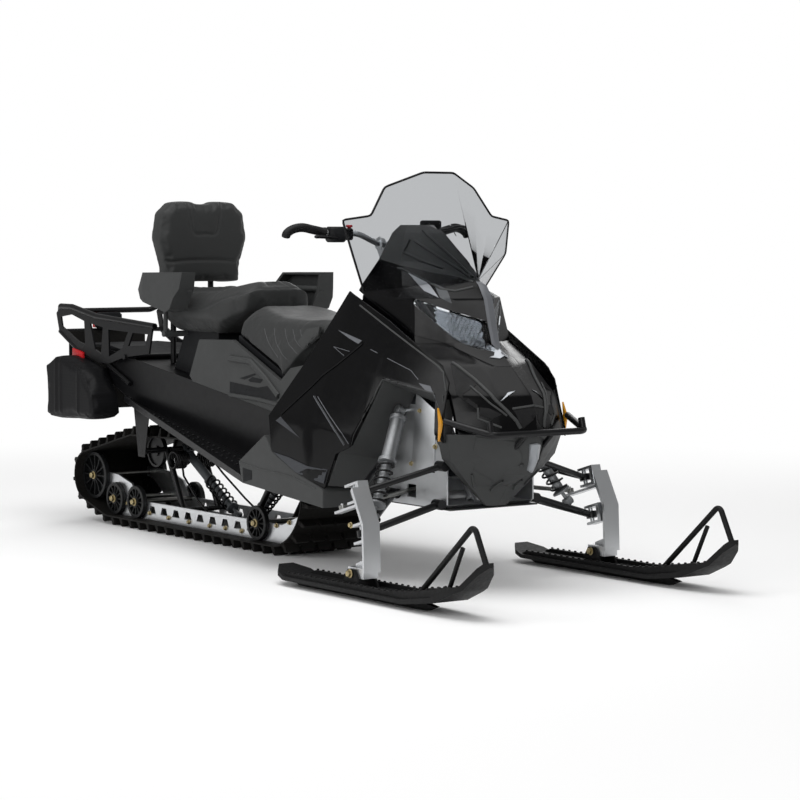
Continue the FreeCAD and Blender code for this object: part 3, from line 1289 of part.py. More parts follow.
def make_skid_arms():
    floor = d.lug + d.belt + d.gap
    inner = d.rail_half - d.rail_thick / 2 - d.gap
    shaft_end = d.tunnel_half - d.plate - d.gap
    front = [rod("front_arm_top", (d.front_arm_x, -shaft_end, d.front_arm_z),
                 (d.front_arm_x, shaft_end, d.front_arm_z), d.axle_radius)]
    foot_x = d.front_arm_x - d.arm_reach
    foot_z = floor + d.rail_high * 0.75
    front.append(rod("front_arm_foot", (foot_x, -inner, foot_z), (foot_x, inner, foot_z), d.axle_radius))
    for sign in (1, -1):
        y = inner * 0.8 * sign
        front.append(rod("front_arm_side", (d.front_arm_x, y, d.front_arm_z), (foot_x, y, foot_z), d.arm_radius))
    rear_end = d.tunnel_half + d.gap + d.plate
    rear = [rod("rear_arm_top", (d.rear_arm_x, -rear_end, d.rear_arm_z),
                (d.rear_arm_x, rear_end, d.rear_arm_z), d.axle_radius)]
    rear_foot_x = d.rear_arm_x + d.arm_reach * 0.6
    rear.append(rod("rear_arm_foot", (rear_foot_x, -inner, foot_z), (rear_foot_x, inner, foot_z), d.axle_radius))
    for sign in (1, -1):
        y = inner * 0.7 * sign
        rear.append(rod("rear_arm_side", (d.rear_arm_x, y, d.rear_arm_z), (rear_foot_x, y, foot_z), d.arm_radius))
    carrier = [rod("carrier_axle", (d.carrier_x, -inner, d.carrier_z), (d.carrier_x, inner, d.carrier_z),
                   d.axle_radius)]
    for sign in (1, -1):
        carrier.append(wheel("carrier_%d" % (sign + 1), d.carrier_x, d.rail_half * 0.5 * sign, d.carrier_z,
                             d.rail_wheel - d.gap))
        y = inner * 0.9 * sign
        carrier.append(rod("carrier_link", (d.carrier_x, y, d.carrier_z), (d.rear_arm_x, y, d.rear_arm_z),
                           d.arm_radius * 0.7))
    node("skid_arms", fuse("front_arm", front), fuse("rear_arm", rear + carrier))
    hang = d.rear_arm_x
    bracket = prism("drop_bracket", "XZ_Plane", [
        (hang - d.arm_radius * 2, d.rear_arm_z - d.arm_radius * 2),
        (hang + d.arm_radius * 2, d.rear_arm_z - d.arm_radius * 2),
        (hang + d.arm_radius * 5, board_z(hang + d.arm_radius * 5) - d.gap),
        (hang - d.arm_radius * 5, board_z(hang - d.arm_radius * 5) - d.gap)],
        d.plate, offset=d.tunnel_half + d.gap)
    bore = rod("drop_bore", (d.rear_arm_x, -d.board_front_half, d.rear_arm_z), (d.rear_arm_x, NONE, d.rear_arm_z),
               d.axle_radius + d.gap)
    both_sides("drop_brackets", cut("drop_bracket_right", bracket, [bore]))


def make_skid_shocks():
    floor = d.lug + d.belt + d.gap
    foot_z = floor + d.rail_high * 0.75
    inner = d.rail_half - d.rail_thick / 2 - d.gap
    sets = []
    for name, top, reach in (
            ("rear", (d.rear_arm_x, NONE, d.rear_arm_z), d.arm_reach * 1.9),
            ("front", (d.front_arm_x, NONE, d.front_arm_z), -d.arm_reach * 1.6)):
        foot = (top[0] + reach, NONE, foot_z)
        along = (vec(*foot) - vec(*top)).normalize()
        start = tuple(vec(*top) + along * float(d.axle_radius + d.gap))
        parts = [rod(name + "_damper", start, foot, d.shock_body_radius * 0.6)]
        parts += coil_discs(name, start, foot, (0.15, 0.85), 7, d.spring_radius)
        parts.append(rod(name + "_shaft", (foot[0], -inner, foot_z), (foot[0], inner, foot_z), d.axle_radius))
        sets.append(fuse(name + "_skid_shock", parts))
    node("skid_shocks", *sets)


def make_steering():
    top_z = d.bar_z - d.riser_high
    axis = post_axis()
    post = rod("post_tube", post_point(d.post_foot_z), post_point(top_z), d.post_radius)
    ahead = FreeCAD.Vector(axis.z, 0, -axis.x)
    tip = vec(*tie_inner_point()) - axis * float(d.pitman_clear)
    pitman = []
    for along, forward in ((-d.ear_thick, -d.post_radius), (NONE, -d.post_radius),
                           (NONE, d.steer_arm), (-d.ear_thick, d.steer_arm)):
        corner = tip + axis * float(along) + ahead * float(forward)
        pitman.append((corner.x, corner.z))
    slab = prism("pitman_arm", "XZ_Plane", pitman, (d.tie_inner_half + d.post_radius) * 2, midplane=True)
    riser = []
    for sign in (1, -1):
        low = vec(*post_point(top_z))
        high = vec(*post_point(d.bar_z))
        shape = []
        for point, along, side in ((low, -d.riser_clamp, -1), (low, -d.riser_clamp, 1),
                                   (high, d.riser_clamp * 0.5, 1), (high, d.riser_clamp * 0.5, -1)):
            corner = point + axis * float(along) + ahead * float(d.riser_deep / 2) * side
            shape.append((corner.x, corner.z))
        y = d.riser_half * sign
        riser.append(prism("riser_plate_%d" % (sign + 1), "XZ_Plane", shape, d.riser_thick,
                           offset=y - d.riser_thick / 2))
    base = rod("riser_base", (post_point(top_z)[0], -(d.riser_half + d.riser_thick / 2), top_z),
               (post_point(top_z)[0], d.riser_half + d.riser_thick / 2, top_z), d.post_radius)
    hole = rod("bar_hole", (d.bar_x, -d.bar_half, d.bar_z), (d.bar_x, d.bar_half, d.bar_z),
               d.bar_radius + d.gap)
    node("steering_post", cut("post_bored", fuse("post_all", [post, slab, base] + riser), [hole]))
    bend_y = d.riser_half + d.riser_thick * 4
    bar = tube("bar_tube", [
        (d.bar_x - d.bar_back, -d.bar_half, d.bar_z + d.bar_rise),
        (d.bar_x - d.bar_back * 0.35, -d.bar_half * 0.6, d.bar_z + d.bar_rise),
        (d.bar_x, -bend_y, d.bar_z), (d.bar_x, bend_y, d.bar_z),
        (d.bar_x - d.bar_back * 0.35, d.bar_half * 0.6, d.bar_z + d.bar_rise),
        (d.bar_x - d.bar_back, d.bar_half, d.bar_z + d.bar_rise)], d.bar_radius, d.bar_radius * 3)
    node("handlebar", bar)
    start = (d.bar_x - d.bar_back * 0.35, -d.bar_half * 0.6, d.bar_z + d.bar_rise)
    end = (d.bar_x - d.bar_back, -d.bar_half, d.bar_z + d.bar_rise)
    stretch = (vec(*end) - vec(*start)).normalize()
    outer = tuple(vec(*end) + stretch * float(d.plate))
    block_start = vec(*start) + stretch * float(d.grip_radius)
    block_end = block_start + stretch * float(d.control_long)
    block = rod("control_block", tuple(block_start), tuple(block_end), d.grip_radius * 1.5,
                d.bar_radius + d.gap)
    both_sides("bar_controls", block)
    grip = rod("grip_tube", tuple(block_end + stretch * float(d.gap)), outer, d.grip_radius,
               d.bar_radius + d.gap)
    both_sides("grips", grip)


def mirrored(half, low, rise, shares):
    """An upright outline, from shares of half a width and of a height, the same on both sides."""
    left = [(half * u, low + rise * v) for u, v in shares]
    right = [(-half * u, low + rise * v) for u, v in reversed(shares)]
    return left + right


def make_seats():
    long = d.seat_front - d.seat_middle
    rise = d.seat_top - d.seat_low
    side_shares = [(0, 0.62), (0.5, 0.15), (0.58, 0.0), (0.72, 0.3), (1, 0.72), (1, 0.88), (0.72, 0.84),
                   (0.42, 0.86), (0.12, 1.0), (0, 1.0)]
    side = prism("driver_side", "XZ_Plane", outline((d.seat_middle, d.seat_low), (long, rise), side_shares),
                 d.seat_half * 2, midplane=True)
    round_shares = [(1.0, -0.02), (0.98, 0.5), (0.88, 0.82), (0.66, 0.97), (0.4, 1.02)]
    across = prism("driver_across", "YZ_Plane", mirrored(d.seat_half, d.seat_low, rise, round_shares),
                   long + d.overrun * 2, offset=d.seat_middle - d.overrun)
    node("driver_seat", common("driver_solid", [side, across]))
    back = d.passenger_rear
    front = d.seat_middle - d.panel_gap
    length = front - back
    high = d.passenger_top - d.passenger_low
    shares = [(0, 0.0), (0.66, 0.0), (0.98, 0.45), (1, 0.95), (0.9, 1.0), (0.6, 0.78), (0.2, 0.74), (0, 0.9)]
    side = prism("passenger_side", "XZ_Plane", outline((back, d.passenger_low), (length, high), shares),
                 d.seat_half * 2, midplane=True)
    round_shares = [(0.66, -0.03), (0.98, 0.28), (1.0, 0.42), (0.9, 0.68), (0.66, 0.86), (0.3, 1.02)]
    across = prism("passenger_across", "YZ_Plane", mirrored(d.seat_half, d.passenger_low, high, round_shares),
                   length + d.overrun * 2, offset=back - d.overrun)
    plan_shares = [(-0.02, 1.02), (0.66, 1.02), (0.86, 0.88), (1.02, 0.62)]
    right = [(back + length * u, -d.seat_half * v) for u, v in plan_shares]
    left = [(back + length * u, d.seat_half * v) for u, v in reversed(plan_shares)]
    plan = prism("passenger_plan", "XY_Plane", right + left, d.backrest_top)
    node("passenger_seat", common("passenger_solid", [side, across, plan]))


def make_backrest():
    half = d.backrest_half
    low = d.passenger_top - d.overrun * 4
    high = d.backrest_top
    rise = high - low
    shape_shares = [(0.80, 0), (0.84, 0.2), (1.0, 0.55), (0.92, 0.84), (0.70, 0.97), (0.28, 1.0), (0.14, 0.97)]
    right = [(-half * u, low + rise * v) for u, v in shape_shares]
    left = [(half * u, low + rise * v) for u, v in reversed(shape_shares)]
    cushion = prism("backrest_pad", "YZ_Plane", right + left, d.backrest_thick,
                    offset=d.backrest_x - d.backrest_thick)
    node("backrest", cushion)
    post_x = d.backrest_x - d.backrest_thick - d.gap
    stay = []
    foot_z = tunnel_top(post_x - d.rack_radius * 2) + d.gap
    for sign in (1, -1):
        y = half * 0.4 * sign
        stay.append(rod("backrest_post_%d" % (sign + 1), (post_x - d.rack_radius, y, foot_z),
                        (post_x - d.rack_radius, y, low + rise * 0.5), d.rack_radius))
    bar = rod("backrest_bar", (post_x - d.rack_radius, -half * 0.4, low + rise * 0.3),
              (post_x - d.rack_radius, half * 0.4, low + rise * 0.3), d.rack_radius * 0.8)
    node("backrest_frame", fuse("backrest_frame_all", stay + [bar]))


def make_seat_body():
    """Fuel tank under the driver, and the charcoal trims that close its sides."""
    low_front = tunnel_top(d.tunnel_front) + d.gap
    low_rear = tunnel_top(d.tank_rear) + d.gap
    top = d.seat_low + (d.seat_top - d.seat_low) * 0.6
    over = d.panel_gap * 2
    long = d.seat_front - d.seat_middle
    rise = d.seat_top - d.seat_low
    seat_line = outline((d.seat_middle, d.seat_low - over), (long, rise), [(0.58, 0), (0.5, 0.15), (0, 0.62)])
    tank = prism("tank_form", "XZ_Plane", [
        (d.tank_rear, low_rear), (d.tunnel_front, low_front)] + seat_line, d.tank_half * 2, midplane=True)
    node("fuel_tank", tank)
    console = prism("console_form", "XZ_Plane", [
        (d.console_rear, d.engine_top + d.gap), (d.tank_front, d.engine_top + d.gap),
        (d.tank_front, d.console_top), (d.console_rear, top + d.skin * 8)], d.tank_half * 2, midplane=True)
    node("console", console)
    inner = d.tunnel_half + d.gap
    front = d.tunnel_front - d.panel_gap
    trim_long = d.trim_front - d.trim_rear
    seat_tip = (d.seat_middle + long * 0.58, d.seat_low - over)
    trim = prism("trim_form", "XZ_Plane", [
        (d.trim_rear, tunnel_top(d.trim_rear) + d.trim_thick), (d.trim_rear + d.trim_thick, tunnel_top(d.trim_rear)),
        (front, tunnel_top(front)), (d.trim_front, d.seat_low - d.trim_thick * 2),
        (d.trim_front - d.trim_thick, d.seat_low + rise * 0.3), (seat_tip[0] + long * 0.12, seat_tip[1] + rise * 0.2),
        seat_tip, (d.seat_middle, seat_tip[1] + rise * 0.55),
        (d.trim_rear + trim_long * 0.08, d.trim_top)], d.trim_thick, offset=inner)
    both_sides("seat_trims", trim)
    base_low = tunnel_top(d.base_rear) + d.gap
    base = prism("base_form", "XZ_Plane", [
        (d.base_rear, base_low), (d.base_front, tunnel_top(d.base_front) + d.gap),
        (d.base_front, d.passenger_low - d.gap), (d.base_rear + d.trim_thick * 4, d.passenger_low - d.gap)],
        d.base_half * 2, midplane=True)
    node("passenger_base", base)


def make_toe_holds():
    inner = d.tunnel_half + d.gap
    rear = d.toe_rear
    length = d.toe_front - rear
    low = d.toe_low
    rise = d.toe_top - low
    shares = [(1.0, 0.24), (1.0, 0.0), (0.085, 0.2), (0.05, 0.53), (0.35, 1.0)]
    seam = [(x, z - d.gap * 1.2) for x, z in panel_low_edge()]
    form = outline((rear, low), (length, rise), shares) + seam
    outer = prism("toe_form", "XZ_Plane", form, d.panel_half - inner, offset=inner)
    hollow_shares = [(-0.1, 0.26), (-0.1, 0.45), (0.05, 0.50), (0.35, 0.94), (0.41, 0.68), (0.9, 0.25), (0.9, 0.06)]
    hollow = prism("toe_hollow", "XZ_Plane", outline((rear, low), (length, rise), hollow_shares),
                   d.panel_half - inner - d.skin, offset=inner - d.overrun)
    both_sides("toe_holds", cut("toe_solid", outer, [hollow]))


def make_rack():
    y = d.rack_half
    rear = d.rack_rear
    top = d.rack_top
    low = d.rack_low
    front = d.rack_front
    hump = top + d.rack_radius * 2
    bend_x = between(rear, front, 0.43)
    upper = tube("rack_upper", [
        (front, -y, d.rack_front_z), (bend_x, -y, between(d.rack_front_z, top, 0.72)),
        (rear + d.rack_corner * 3, -y, hump), (rear + d.rack_corner, -y, hump), (rear, -y * 0.9, top),
        (rear, y * 0.9, top), (rear + d.rack_corner, y, hump), (rear + d.rack_corner * 3, y, hump),
        (bend_x, y, between(d.rack_front_z, top, 0.72)), (front, y, d.rack_front_z)],
        d.rack_radius, d.rack_radius * 1.6)
    lower_radius = d.rack_radius * 0.8
    seat_y = d.tunnel_half + d.gap + lower_radius
    right = [(d.rack_end_x, -seat_y, d.rack_end_z), (d.rack_foot_x, -seat_y, d.rack_foot_z),
             (d.rack_mid_x, -y, d.rack_mid_z), (rear + d.rack_corner, -y, low), (rear, -y * 0.9, low)]
    left = [(x, -across, z) for x, across, z in reversed(right)]
    lower = tube("rack_lower", right + left, lower_radius, d.rack_radius * 1.6)
    deck_front = d.deck_front
    deck_rear = rear + d.rack_corner * 2.5
    deck_low = tunnel_top(d.tunnel_rear) + d.gap
    plate_shares = [(0.985, 0.81), (0.64, 0.84), (0.41, 0.92), (0.19, 1.1), (0.06, 1.1), (0.02, 0.97),
                    (0.05, 0.6), (0.246, 0.24), (0.45, 0.02), (0.56, 0.02), (0.71, 0.17), (0.95, 0.28)]
    window_shares = [
        [(0.067, 0.9), (0.18, 0.96), (0.31, 0.84), (0.32, 0.36), (0.246, 0.42), (0.08, 0.7)],
        [(0.37, 0.8), (0.50, 0.74), (0.48, 0.2), (0.42, 0.28)],
        [(0.555, 0.7), (0.75, 0.68), (0.69, 0.34), (0.56, 0.16)],
        [(0.795, 0.67), (0.94, 0.66), (0.915, 0.44), (0.75, 0.4)]]
    corner = (rear, d.rack_foot_z)
    reach = (front - rear, top - d.rack_foot_z)
    panes = [upper, lower]
    for sign in (1, -1):
        offset = y * sign - d.plate
        pane = prism("rack_plate_%d" % (sign + 1), "XZ_Plane", outline(corner, reach, plate_shares),
                     d.plate * 2, offset=offset)
        windows = []
        for number, shares in enumerate(window_shares):
            windows.append(prism("rack_window_%d_%d" % (sign + 1, number), "XZ_Plane",
                                 outline(corner, reach, shares), d.plate * 4, offset=offset - d.plate))
        panes.append(cut("rack_pane_%d" % (sign + 1), pane, windows))
    cross_x = between(front, rear, 0.28)
    foot_radius = d.rack_radius * 0.9
    foot = tunnel_top(cross_x) + (foot_radius + d.gap) / tunnel_slope()
    half_foot = y + foot_radius
    panes.append(rod("rack_foot", (cross_x, -half_foot, foot), (cross_x, half_foot, foot), foot_radius))
    node("cargo_rack", fuse("rack_all", panes))
    slope_low = tunnel_top(deck_front) + d.gap
    deck = prism("deck_form", "XZ_Plane", [
        (deck_rear, deck_low), (d.tunnel_rear, deck_low), (deck_front, slope_low),
        (deck_front, slope_low + d.deck_thick), (d.tunnel_rear, deck_low + d.deck_thick),
        (deck_rear, deck_low + d.deck_thick)], d.deck_half * 2, midplane=True)
    node("cargo_deck", deck)


def make_panniers():
    rear = d.pannier_rear
    length = d.pannier_front - rear
    low = d.pannier_low
    rise = d.pannier_top - low
    under = d.rack_radius + d.panel_gap * 2
    shares = [(0.02, 0.06), (0.1, 0), (0.9, 0.04), (1, 0.12), (0.97, 0.43)]
    top_line = [(d.rack_foot_x, d.rack_foot_z - under), (d.rack_mid_x, d.rack_mid_z - under),
                (rear + length * 0.2, d.pannier_top), (rear, d.pannier_top - length * 0.1)]
    inner = d.tunnel_half + d.gap
    bag = prism("pannier_form", "XZ_Plane", outline((rear, low), (length, rise), shares) + top_line,
                d.pannier_half - inner, offset=inner)
    both_sides("panniers", bag)


def make_flap():
    x = d.rack_rear + d.rack_radius * 0.8 + d.gap
    flap = box("flap_sheet", (x, -d.track_half, d.flap_low), (x + d.plate, d.track_half, d.rack_low))
    node("snow_flap", flap)


def make_tail_lamp():
    z = between(d.rack_low, d.rack_top, 0.5)
    rise = (d.rack_top - d.rack_low) / 2 - d.rack_radius
    lamp = box("tail_lamp_box", (d.rack_rear - d.rack_radius, -d.lamp_half, z - rise),
               (d.rack_rear + d.rack_radius, d.lamp_half, z + rise - d.gap))
    node("tail_lamp", lamp)


def hand_hold(side, slide):
    """A wind deflector open towards the seat, with the grab bar inside it, on its post."""
    inner = d.seat_half + d.panel_gap
    rear = d.hold_rear + slide
    reach = (d.hold_front - d.hold_rear, d.hold_top - d.hold_low)
    low = d.hold_low
    form_shares = [(0, 0.53), (0.25, 0.97), (1, 1), (0.97, 0.59), (0.83, 0.08), (0.73, 0), (0.11, 0.3)]
    hollow_shares = [(0.07, 0.55), (0.27, 0.92), (0.965, 0.94), (0.93, 0.59), (0.81, 0.13), (0.73, 0.06),
                     (0.14, 0.35)]
    form = prism("hold_form_" + side, "XZ_Plane", outline((rear, low), reach, form_shares), d.hold_wide,
                 offset=inner)
    plan_shares = [(-0.02, -0.1), (-0.02, 0.55), (0.28, 1.02), (0.9, 1.02), (1.02, 0.7), (1.02, -0.1)]
    plan = prism("hold_plan_" + side, "XY_Plane",
                 [(rear + reach[0] * u, -(inner + d.hold_wide * v)) for u, v in plan_shares], d.backrest_top)
    hollow = prism("hold_hollow_" + side, "XZ_Plane", outline((rear, low), reach, hollow_shares),
                   d.hold_wide * 0.52 + d.overrun, offset=inner - d.overrun)
    shell = cut("hold_shell_" + side, common("hold_block_" + side, [form, plan]), [hollow])
    grab_y = -(inner + d.hold_wide * 0.22)
    grab_z = low + reach[1] * 0.58
    grab = rod("hold_grab_" + side, (rear + reach[0] * 0.04, grab_y, grab_z),
               (rear + reach[0] * 0.96, grab_y, grab_z), d.rack_radius)
    post_x = d.hold_post_x + slide
    bracket_y = -(inner + d.rack_radius)
    under = d.passenger_low - d.rack_radius - d.plate
    post = rod("hold_post_" + side, (post_x, bracket_y, under), (post_x, bracket_y, grab_z),
               d.rack_radius * 0.8)
    arm = rod("hold_arm_" + side, (post_x, bracket_y - d.rack_radius, under),
              (post_x, -(d.base_half + d.gap), under), d.rack_radius)
    return fuse("hold_solid_" + side, [shell, grab, post, arm])


def make_hand_holds():
    """The left one is set further forward along its slide than the right one."""
    node("hand_holds", hand_hold("right", NONE), mirror("hold_left", hand_hold("left", d.hold_slide)))


MAKERS = (
    make_tunnel, make_running_boards, make_bulkhead, make_engine, make_upper_frame, make_belly_pan,
    make_side_panels, make_hood, make_windshield, make_arms, make_front_shocks,
    make_spindles, make_tie_rods, make_skis, make_track, make_rails, make_wheels, make_drive,
    make_skid_arms, make_skid_shocks, make_steering, make_seats, make_backrest, make_seat_body,
    make_toe_holds, make_rack, make_panniers, make_flap, make_tail_lamp, make_hand_holds)
for maker in MAKERS:
    maker()
doc.recompute()

failed = [item.Name for item in doc.Objects if "Invalid" in item.State or "Error" in item.State]
if failed:
    raise SystemExit("not built: " + ", ".join(failed))
os.makedirs("parts", exist_ok=True)
for feature in NODES:
    shape = feature.Shape
    if shape.isNull() or not shape.isValid():
        raise SystemExit("bad shape: " + feature.Label)
for feature in NODES:
    shape = feature.Shape
    shape.exportStep(os.path.join("parts", feature.Label + ".step"))
    low = shape.BoundBox
    print("%-18s %d solids  X %6.0f..%6.0f  Y %6.0f..%6.0f  Z %6.0f..%6.0f" % (
        feature.Label, len(shape.Solids), low.XMin, low.XMax, low.YMin, low.YMax, low.ZMin, low.ZMax))
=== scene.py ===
# %% [markdown]
# # A two-up touring snowmobile
# The CAD model gives every solid its place and size, in metres: +X is forward,
# +Y is the rider's left and +Z is up. This lesson dresses it. It gives each solid
# the finish of the real part, and it models what is too fine or too soft for CAD:
# cushions, track lugs, spoked wheels, springs, trim, bolts and rubber edges.

# %% Load the frame
import math
import bpy
import bmesh
import numpy as np
from mathutils import Matrix, Vector
from mathutils.bvhtree import BVHTree


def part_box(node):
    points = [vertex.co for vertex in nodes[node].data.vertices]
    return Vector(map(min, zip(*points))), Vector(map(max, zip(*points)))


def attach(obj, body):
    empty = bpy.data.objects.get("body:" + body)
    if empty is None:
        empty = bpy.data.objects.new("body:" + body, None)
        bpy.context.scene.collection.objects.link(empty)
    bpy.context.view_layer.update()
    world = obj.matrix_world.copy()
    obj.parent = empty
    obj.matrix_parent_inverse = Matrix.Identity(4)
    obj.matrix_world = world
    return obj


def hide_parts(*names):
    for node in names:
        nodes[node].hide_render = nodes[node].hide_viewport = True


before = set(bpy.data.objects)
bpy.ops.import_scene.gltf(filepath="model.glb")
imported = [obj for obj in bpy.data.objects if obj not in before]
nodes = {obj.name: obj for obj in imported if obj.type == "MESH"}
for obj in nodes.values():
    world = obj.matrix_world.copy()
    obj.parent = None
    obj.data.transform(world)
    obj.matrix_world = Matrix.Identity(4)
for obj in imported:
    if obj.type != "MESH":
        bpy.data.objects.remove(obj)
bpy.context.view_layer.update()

# %% [markdown]
# ## Camera
# The photograph was taken from the front right with a long lens, a little above
# the headlights. The eye point and the angles below were solved from straight
# edges of the machine, so the render can be laid over the photograph.

# %% Camera
def aim(eye, azimuth, elevation, roll):
    """Camera matrix from an eye point and three angles in degrees."""
    azimuth, elevation, roll = (math.radians(a) for a in (azimuth, elevation, roll))
    back = Vector((math.sin(azimuth) * math.cos(elevation),
                   -math.cos(azimuth) * math.cos(elevation), math.sin(elevation)))
    right = Vector((0, 0, 1)).cross(back).normalized()
    up = back.cross(right)
    turned = Matrix((right, up, back)).transposed() @ Matrix.Rotation(roll, 3, "Z")
    return Matrix.Translation(eye) @ turned.to_4x4()


eye_point = (8.294, -5.708, 1.293)
azimuth_deg, elevation_deg, roll_deg = 53.86, 3.92, 0.19
focal_mm, sensor_mm = 117.7, 36
floor_size = 60
lens = bpy.data.cameras.new("camera")
lens.lens = focal_mm
lens.sensor_width = sensor_mm
lens.clip_end = floor_size
camera = bpy.data.objects.new("camera", lens)
bpy.context.scene.collection.objects.link(camera)
camera.matrix_world = aim(eye_point, azimuth_deg, elevation_deg, roll_deg)
bpy.context.scene.camera = camera
bpy.context.scene.view_settings.view_transform = "Standard"
print("camera at", [round(c, 3) for c in camera.location])

# %% [markdown]
# ## Colours and nodes
# Paint and plastic colours are read off as sRGB hex values, while Blender's
# sockets take linear light. One function turns the first into the second, and one
# small function adds a node with its settings and links. A pattern's scale comes
# from a real size in millimetres.

# %% Colour and node helpers
def colour(code):
    """A hex colour as the linear one that a socket takes."""
    parts = [int(code[at:at + 2], 16) / 255 for at in (1, 3, 5)]
    linear = [p / 12.92 if p <= 0.04045 else ((p + 0.055) / 1.055) ** 2.4 for p in parts]
    return (*linear, 1)


def add(tree, kind, settings=None, **sockets):
    """Adds a node. A socket name is written with _ for a blank, or as sN for its number."""
    node = tree.nodes.new(kind)
    for name, value in (settings or {}).items():
        setattr(node, name, value)
    for name, value in sockets.items():
        numbered = name[0] == "s" and name[1:].isdigit()
        socket = node.inputs[int(name[1:]) if numbered else name.replace("_", " ")]
        if isinstance(value, bpy.types.NodeSocket):
            tree.links.new(value, socket)
        else:
            socket.default_value = value
    return node


def per_metre(size_mm):
    """Texture scale that makes one cell of a pattern this many millimetres wide."""
    return 1000 / size_mm


def new_finish(name, code, rough, **sockets):
    """A material with one shader and the place of each point on the object."""
    material = bpy.data.materials.new(name)
    material.use_nodes = True
    tree = material.node_tree
    shader = tree.nodes["Principled BSDF"]
    shader.inputs["Base Color"].default_value = colour(code)
    shader.inputs["Roughness"].default_value = rough
    for socket, value in sockets.items():
        shader.inputs[socket.replace("_", " ")].default_value = value
    place = add(tree, "ShaderNodeTexCoord").outputs["Object"]
    return material, tree, shader, place


print("black paint as linear light", colour("#0c0c0e"))

# %% [markdown]
# ## Moulded plastics
# Body panels are injection-moulded ABS or polypropylene. The gloss ones are painted
# black and show a faint orange peel. The others are moulded in colour with a spark
# eroded grain, which breaks the reflections up into a soft satin and is drawn
# 1.6 mm wide so that it shows. Cloudy differences in colour and roughness keep large
# panels alive. Noise on Object coordinates does all of this without a UV map.

# %% Plastic finishes
def grained(name, code, other, rough, spread, grain_mm, depth, cloud_mm=180, voronoi=False, **sockets):
    """Colour and roughness drift in clouds, and a fine grain of noise or cells stands up as bump."""
    material, tree, shader, place = new_finish(name, code, rough, **sockets)
    cloud = add(tree, "ShaderNodeTexNoise", Vector=place, Scale=per_metre(cloud_mm), Detail=4.0)
    tint = add(tree, "ShaderNodeMix", {"data_type": "RGBA"}, s0=cloud.outputs["Fac"],
               s6=colour(code), s7=colour(other))
    tree.links.new(tint.outputs[2], shader.inputs["Base Color"])
    wear = add(tree, "ShaderNodeTexNoise", Vector=place, Scale=per_metre(cloud_mm / 6), Detail=6.0)
    level = add(tree, "ShaderNodeMapRange", Value=wear.outputs["Fac"], From_Min=0.3, From_Max=0.7,
                To_Min=rough - spread, To_Max=rough + spread)
    tree.links.new(level.outputs["Result"], shader.inputs["Roughness"])
    if voronoi:
        cells = add(tree, "ShaderNodeTexVoronoi", Vector=place, Scale=per_metre(grain_mm))
        grain = cells.outputs["Distance"]
    else:
        noise = add(tree, "ShaderNodeTexNoise", Vector=place, Scale=per_metre(grain_mm), Detail=3.0)
        grain = noise.outputs["Fac"]
    bump = add(tree, "ShaderNodeBump", Height=grain, Distance=depth / 1000, Strength=0.6)
    tree.links.new(bump.outputs["Normal"], shader.inputs["Normal"])
    return material


# Sprayed black lacquer over ABS: deep black, clear reflections and a long soft orange peel.
gloss_black = grained("black_lacquer_on_abs", "#020203", "#040405", 0.2, 0.03, 11, 0.02, IOR=1.5,
                      Specular_IOR_Level=0.16)
# Polypropylene moulded in charcoal: an even fine grain, satin.
charcoal = grained("charcoal_moulded_polypropylene", "#3a3b3b", "#424343", 0.5, 0.05, 1.6, 0.1, IOR=1.49,
                   Specular_IOR_Level=0.22)
# The same plastic in near black, for ducts, pans and bases.
dark_plastic = grained("near_black_moulded_polypropylene", "#131416", "#18191b", 0.55, 0.06, 1.6, 0.1,
                       IOR=1.49, Specular_IOR_Level=0.2)
# Glass-filled nylon wheels: a hard satin, greyer in patches where they are scuffed.
wheel_nylon = grained("black_glass_filled_nylon", "#0b0c0d", "#131415", 0.45, 0.08, 2.2, 0.08,
                      cloud_mm=40, IOR=1.53, Specular_IOR_Level=0.3)
# Polyethylene of the skis: waxy and low in shine, with duller patches where snow has rubbed it.
ski_plastic = grained("waxy_black_polyethylene", "#060607", "#0b0b0c", 0.6, 0.07, 3.0, 0.08,
                      cloud_mm=70, IOR=1.51, Specular_IOR_Level=0.28)
print("plastics:", [m.name for m in (gloss_black, charcoal, dark_plastic, wheel_nylon, ski_plastic)])

# %% [markdown]
# ## Metals
# The spindles and the steering head are forged aluminium, the bulkhead is pressed
# sheet, the rails are extruded and polished by snow, and the tubes are steel with
# a black powder coat. Bare metals get metallic 1 and a brushed or cast grain in
# their roughness; the powder coat is a plastic skin with an orange peel.

# %% Metal finishes
def metal(name, code, rough, spread, grain_mm, stretch=(1, 1, 1), depth=0.03, **sockets):
    """A bare metal whose roughness and bump follow a grain, stretched along one way."""
    material, tree, shader, place = new_finish(name, code, rough, Metallic=1.0, **sockets)
    drawn_out = add(tree, "ShaderNodeMapping", Vector=place, Scale=stretch)
    grain = add(tree, "ShaderNodeTexNoise", Vector=drawn_out.outputs["Vector"], Scale=per_metre(grain_mm),
                Detail=5.0)
    level = add(tree, "ShaderNodeMapRange", Value=grain.outputs["Fac"], From_Min=0.3, From_Max=0.7,
                To_Min=rough - spread, To_Max=rough + spread)
    tree.links.new(level.outputs["Result"], shader.inputs["Roughness"])
    bump = add(tree, "ShaderNodeBump", Height=grain.outputs["Fac"], Distance=depth / 1000, Strength=0.5)
    tree.links.new(bump.outputs["Normal"], shader.inputs["Normal"])
    return material


# A blasted forging is an even pale grey with broad, soft highlights.
forged = metal("forged_aluminium", "#cfd1d3", 0.36, 0.05, 14, depth=0.01)
# Rolled and pressed sheet has the same colour and is duller.
pressed = metal("pressed_aluminium_sheet", "#cfd1d3", 0.46, 0.06, 26, depth=0.02)
# Rails are rubbed bright along their length, so the grain is drawn out along X.
rail_alloy = metal("snow_polished_aluminium_rail", "#e2e4e6", 0.34, 0.04, 8, stretch=(0.06, 1, 1),
                   depth=0.002)
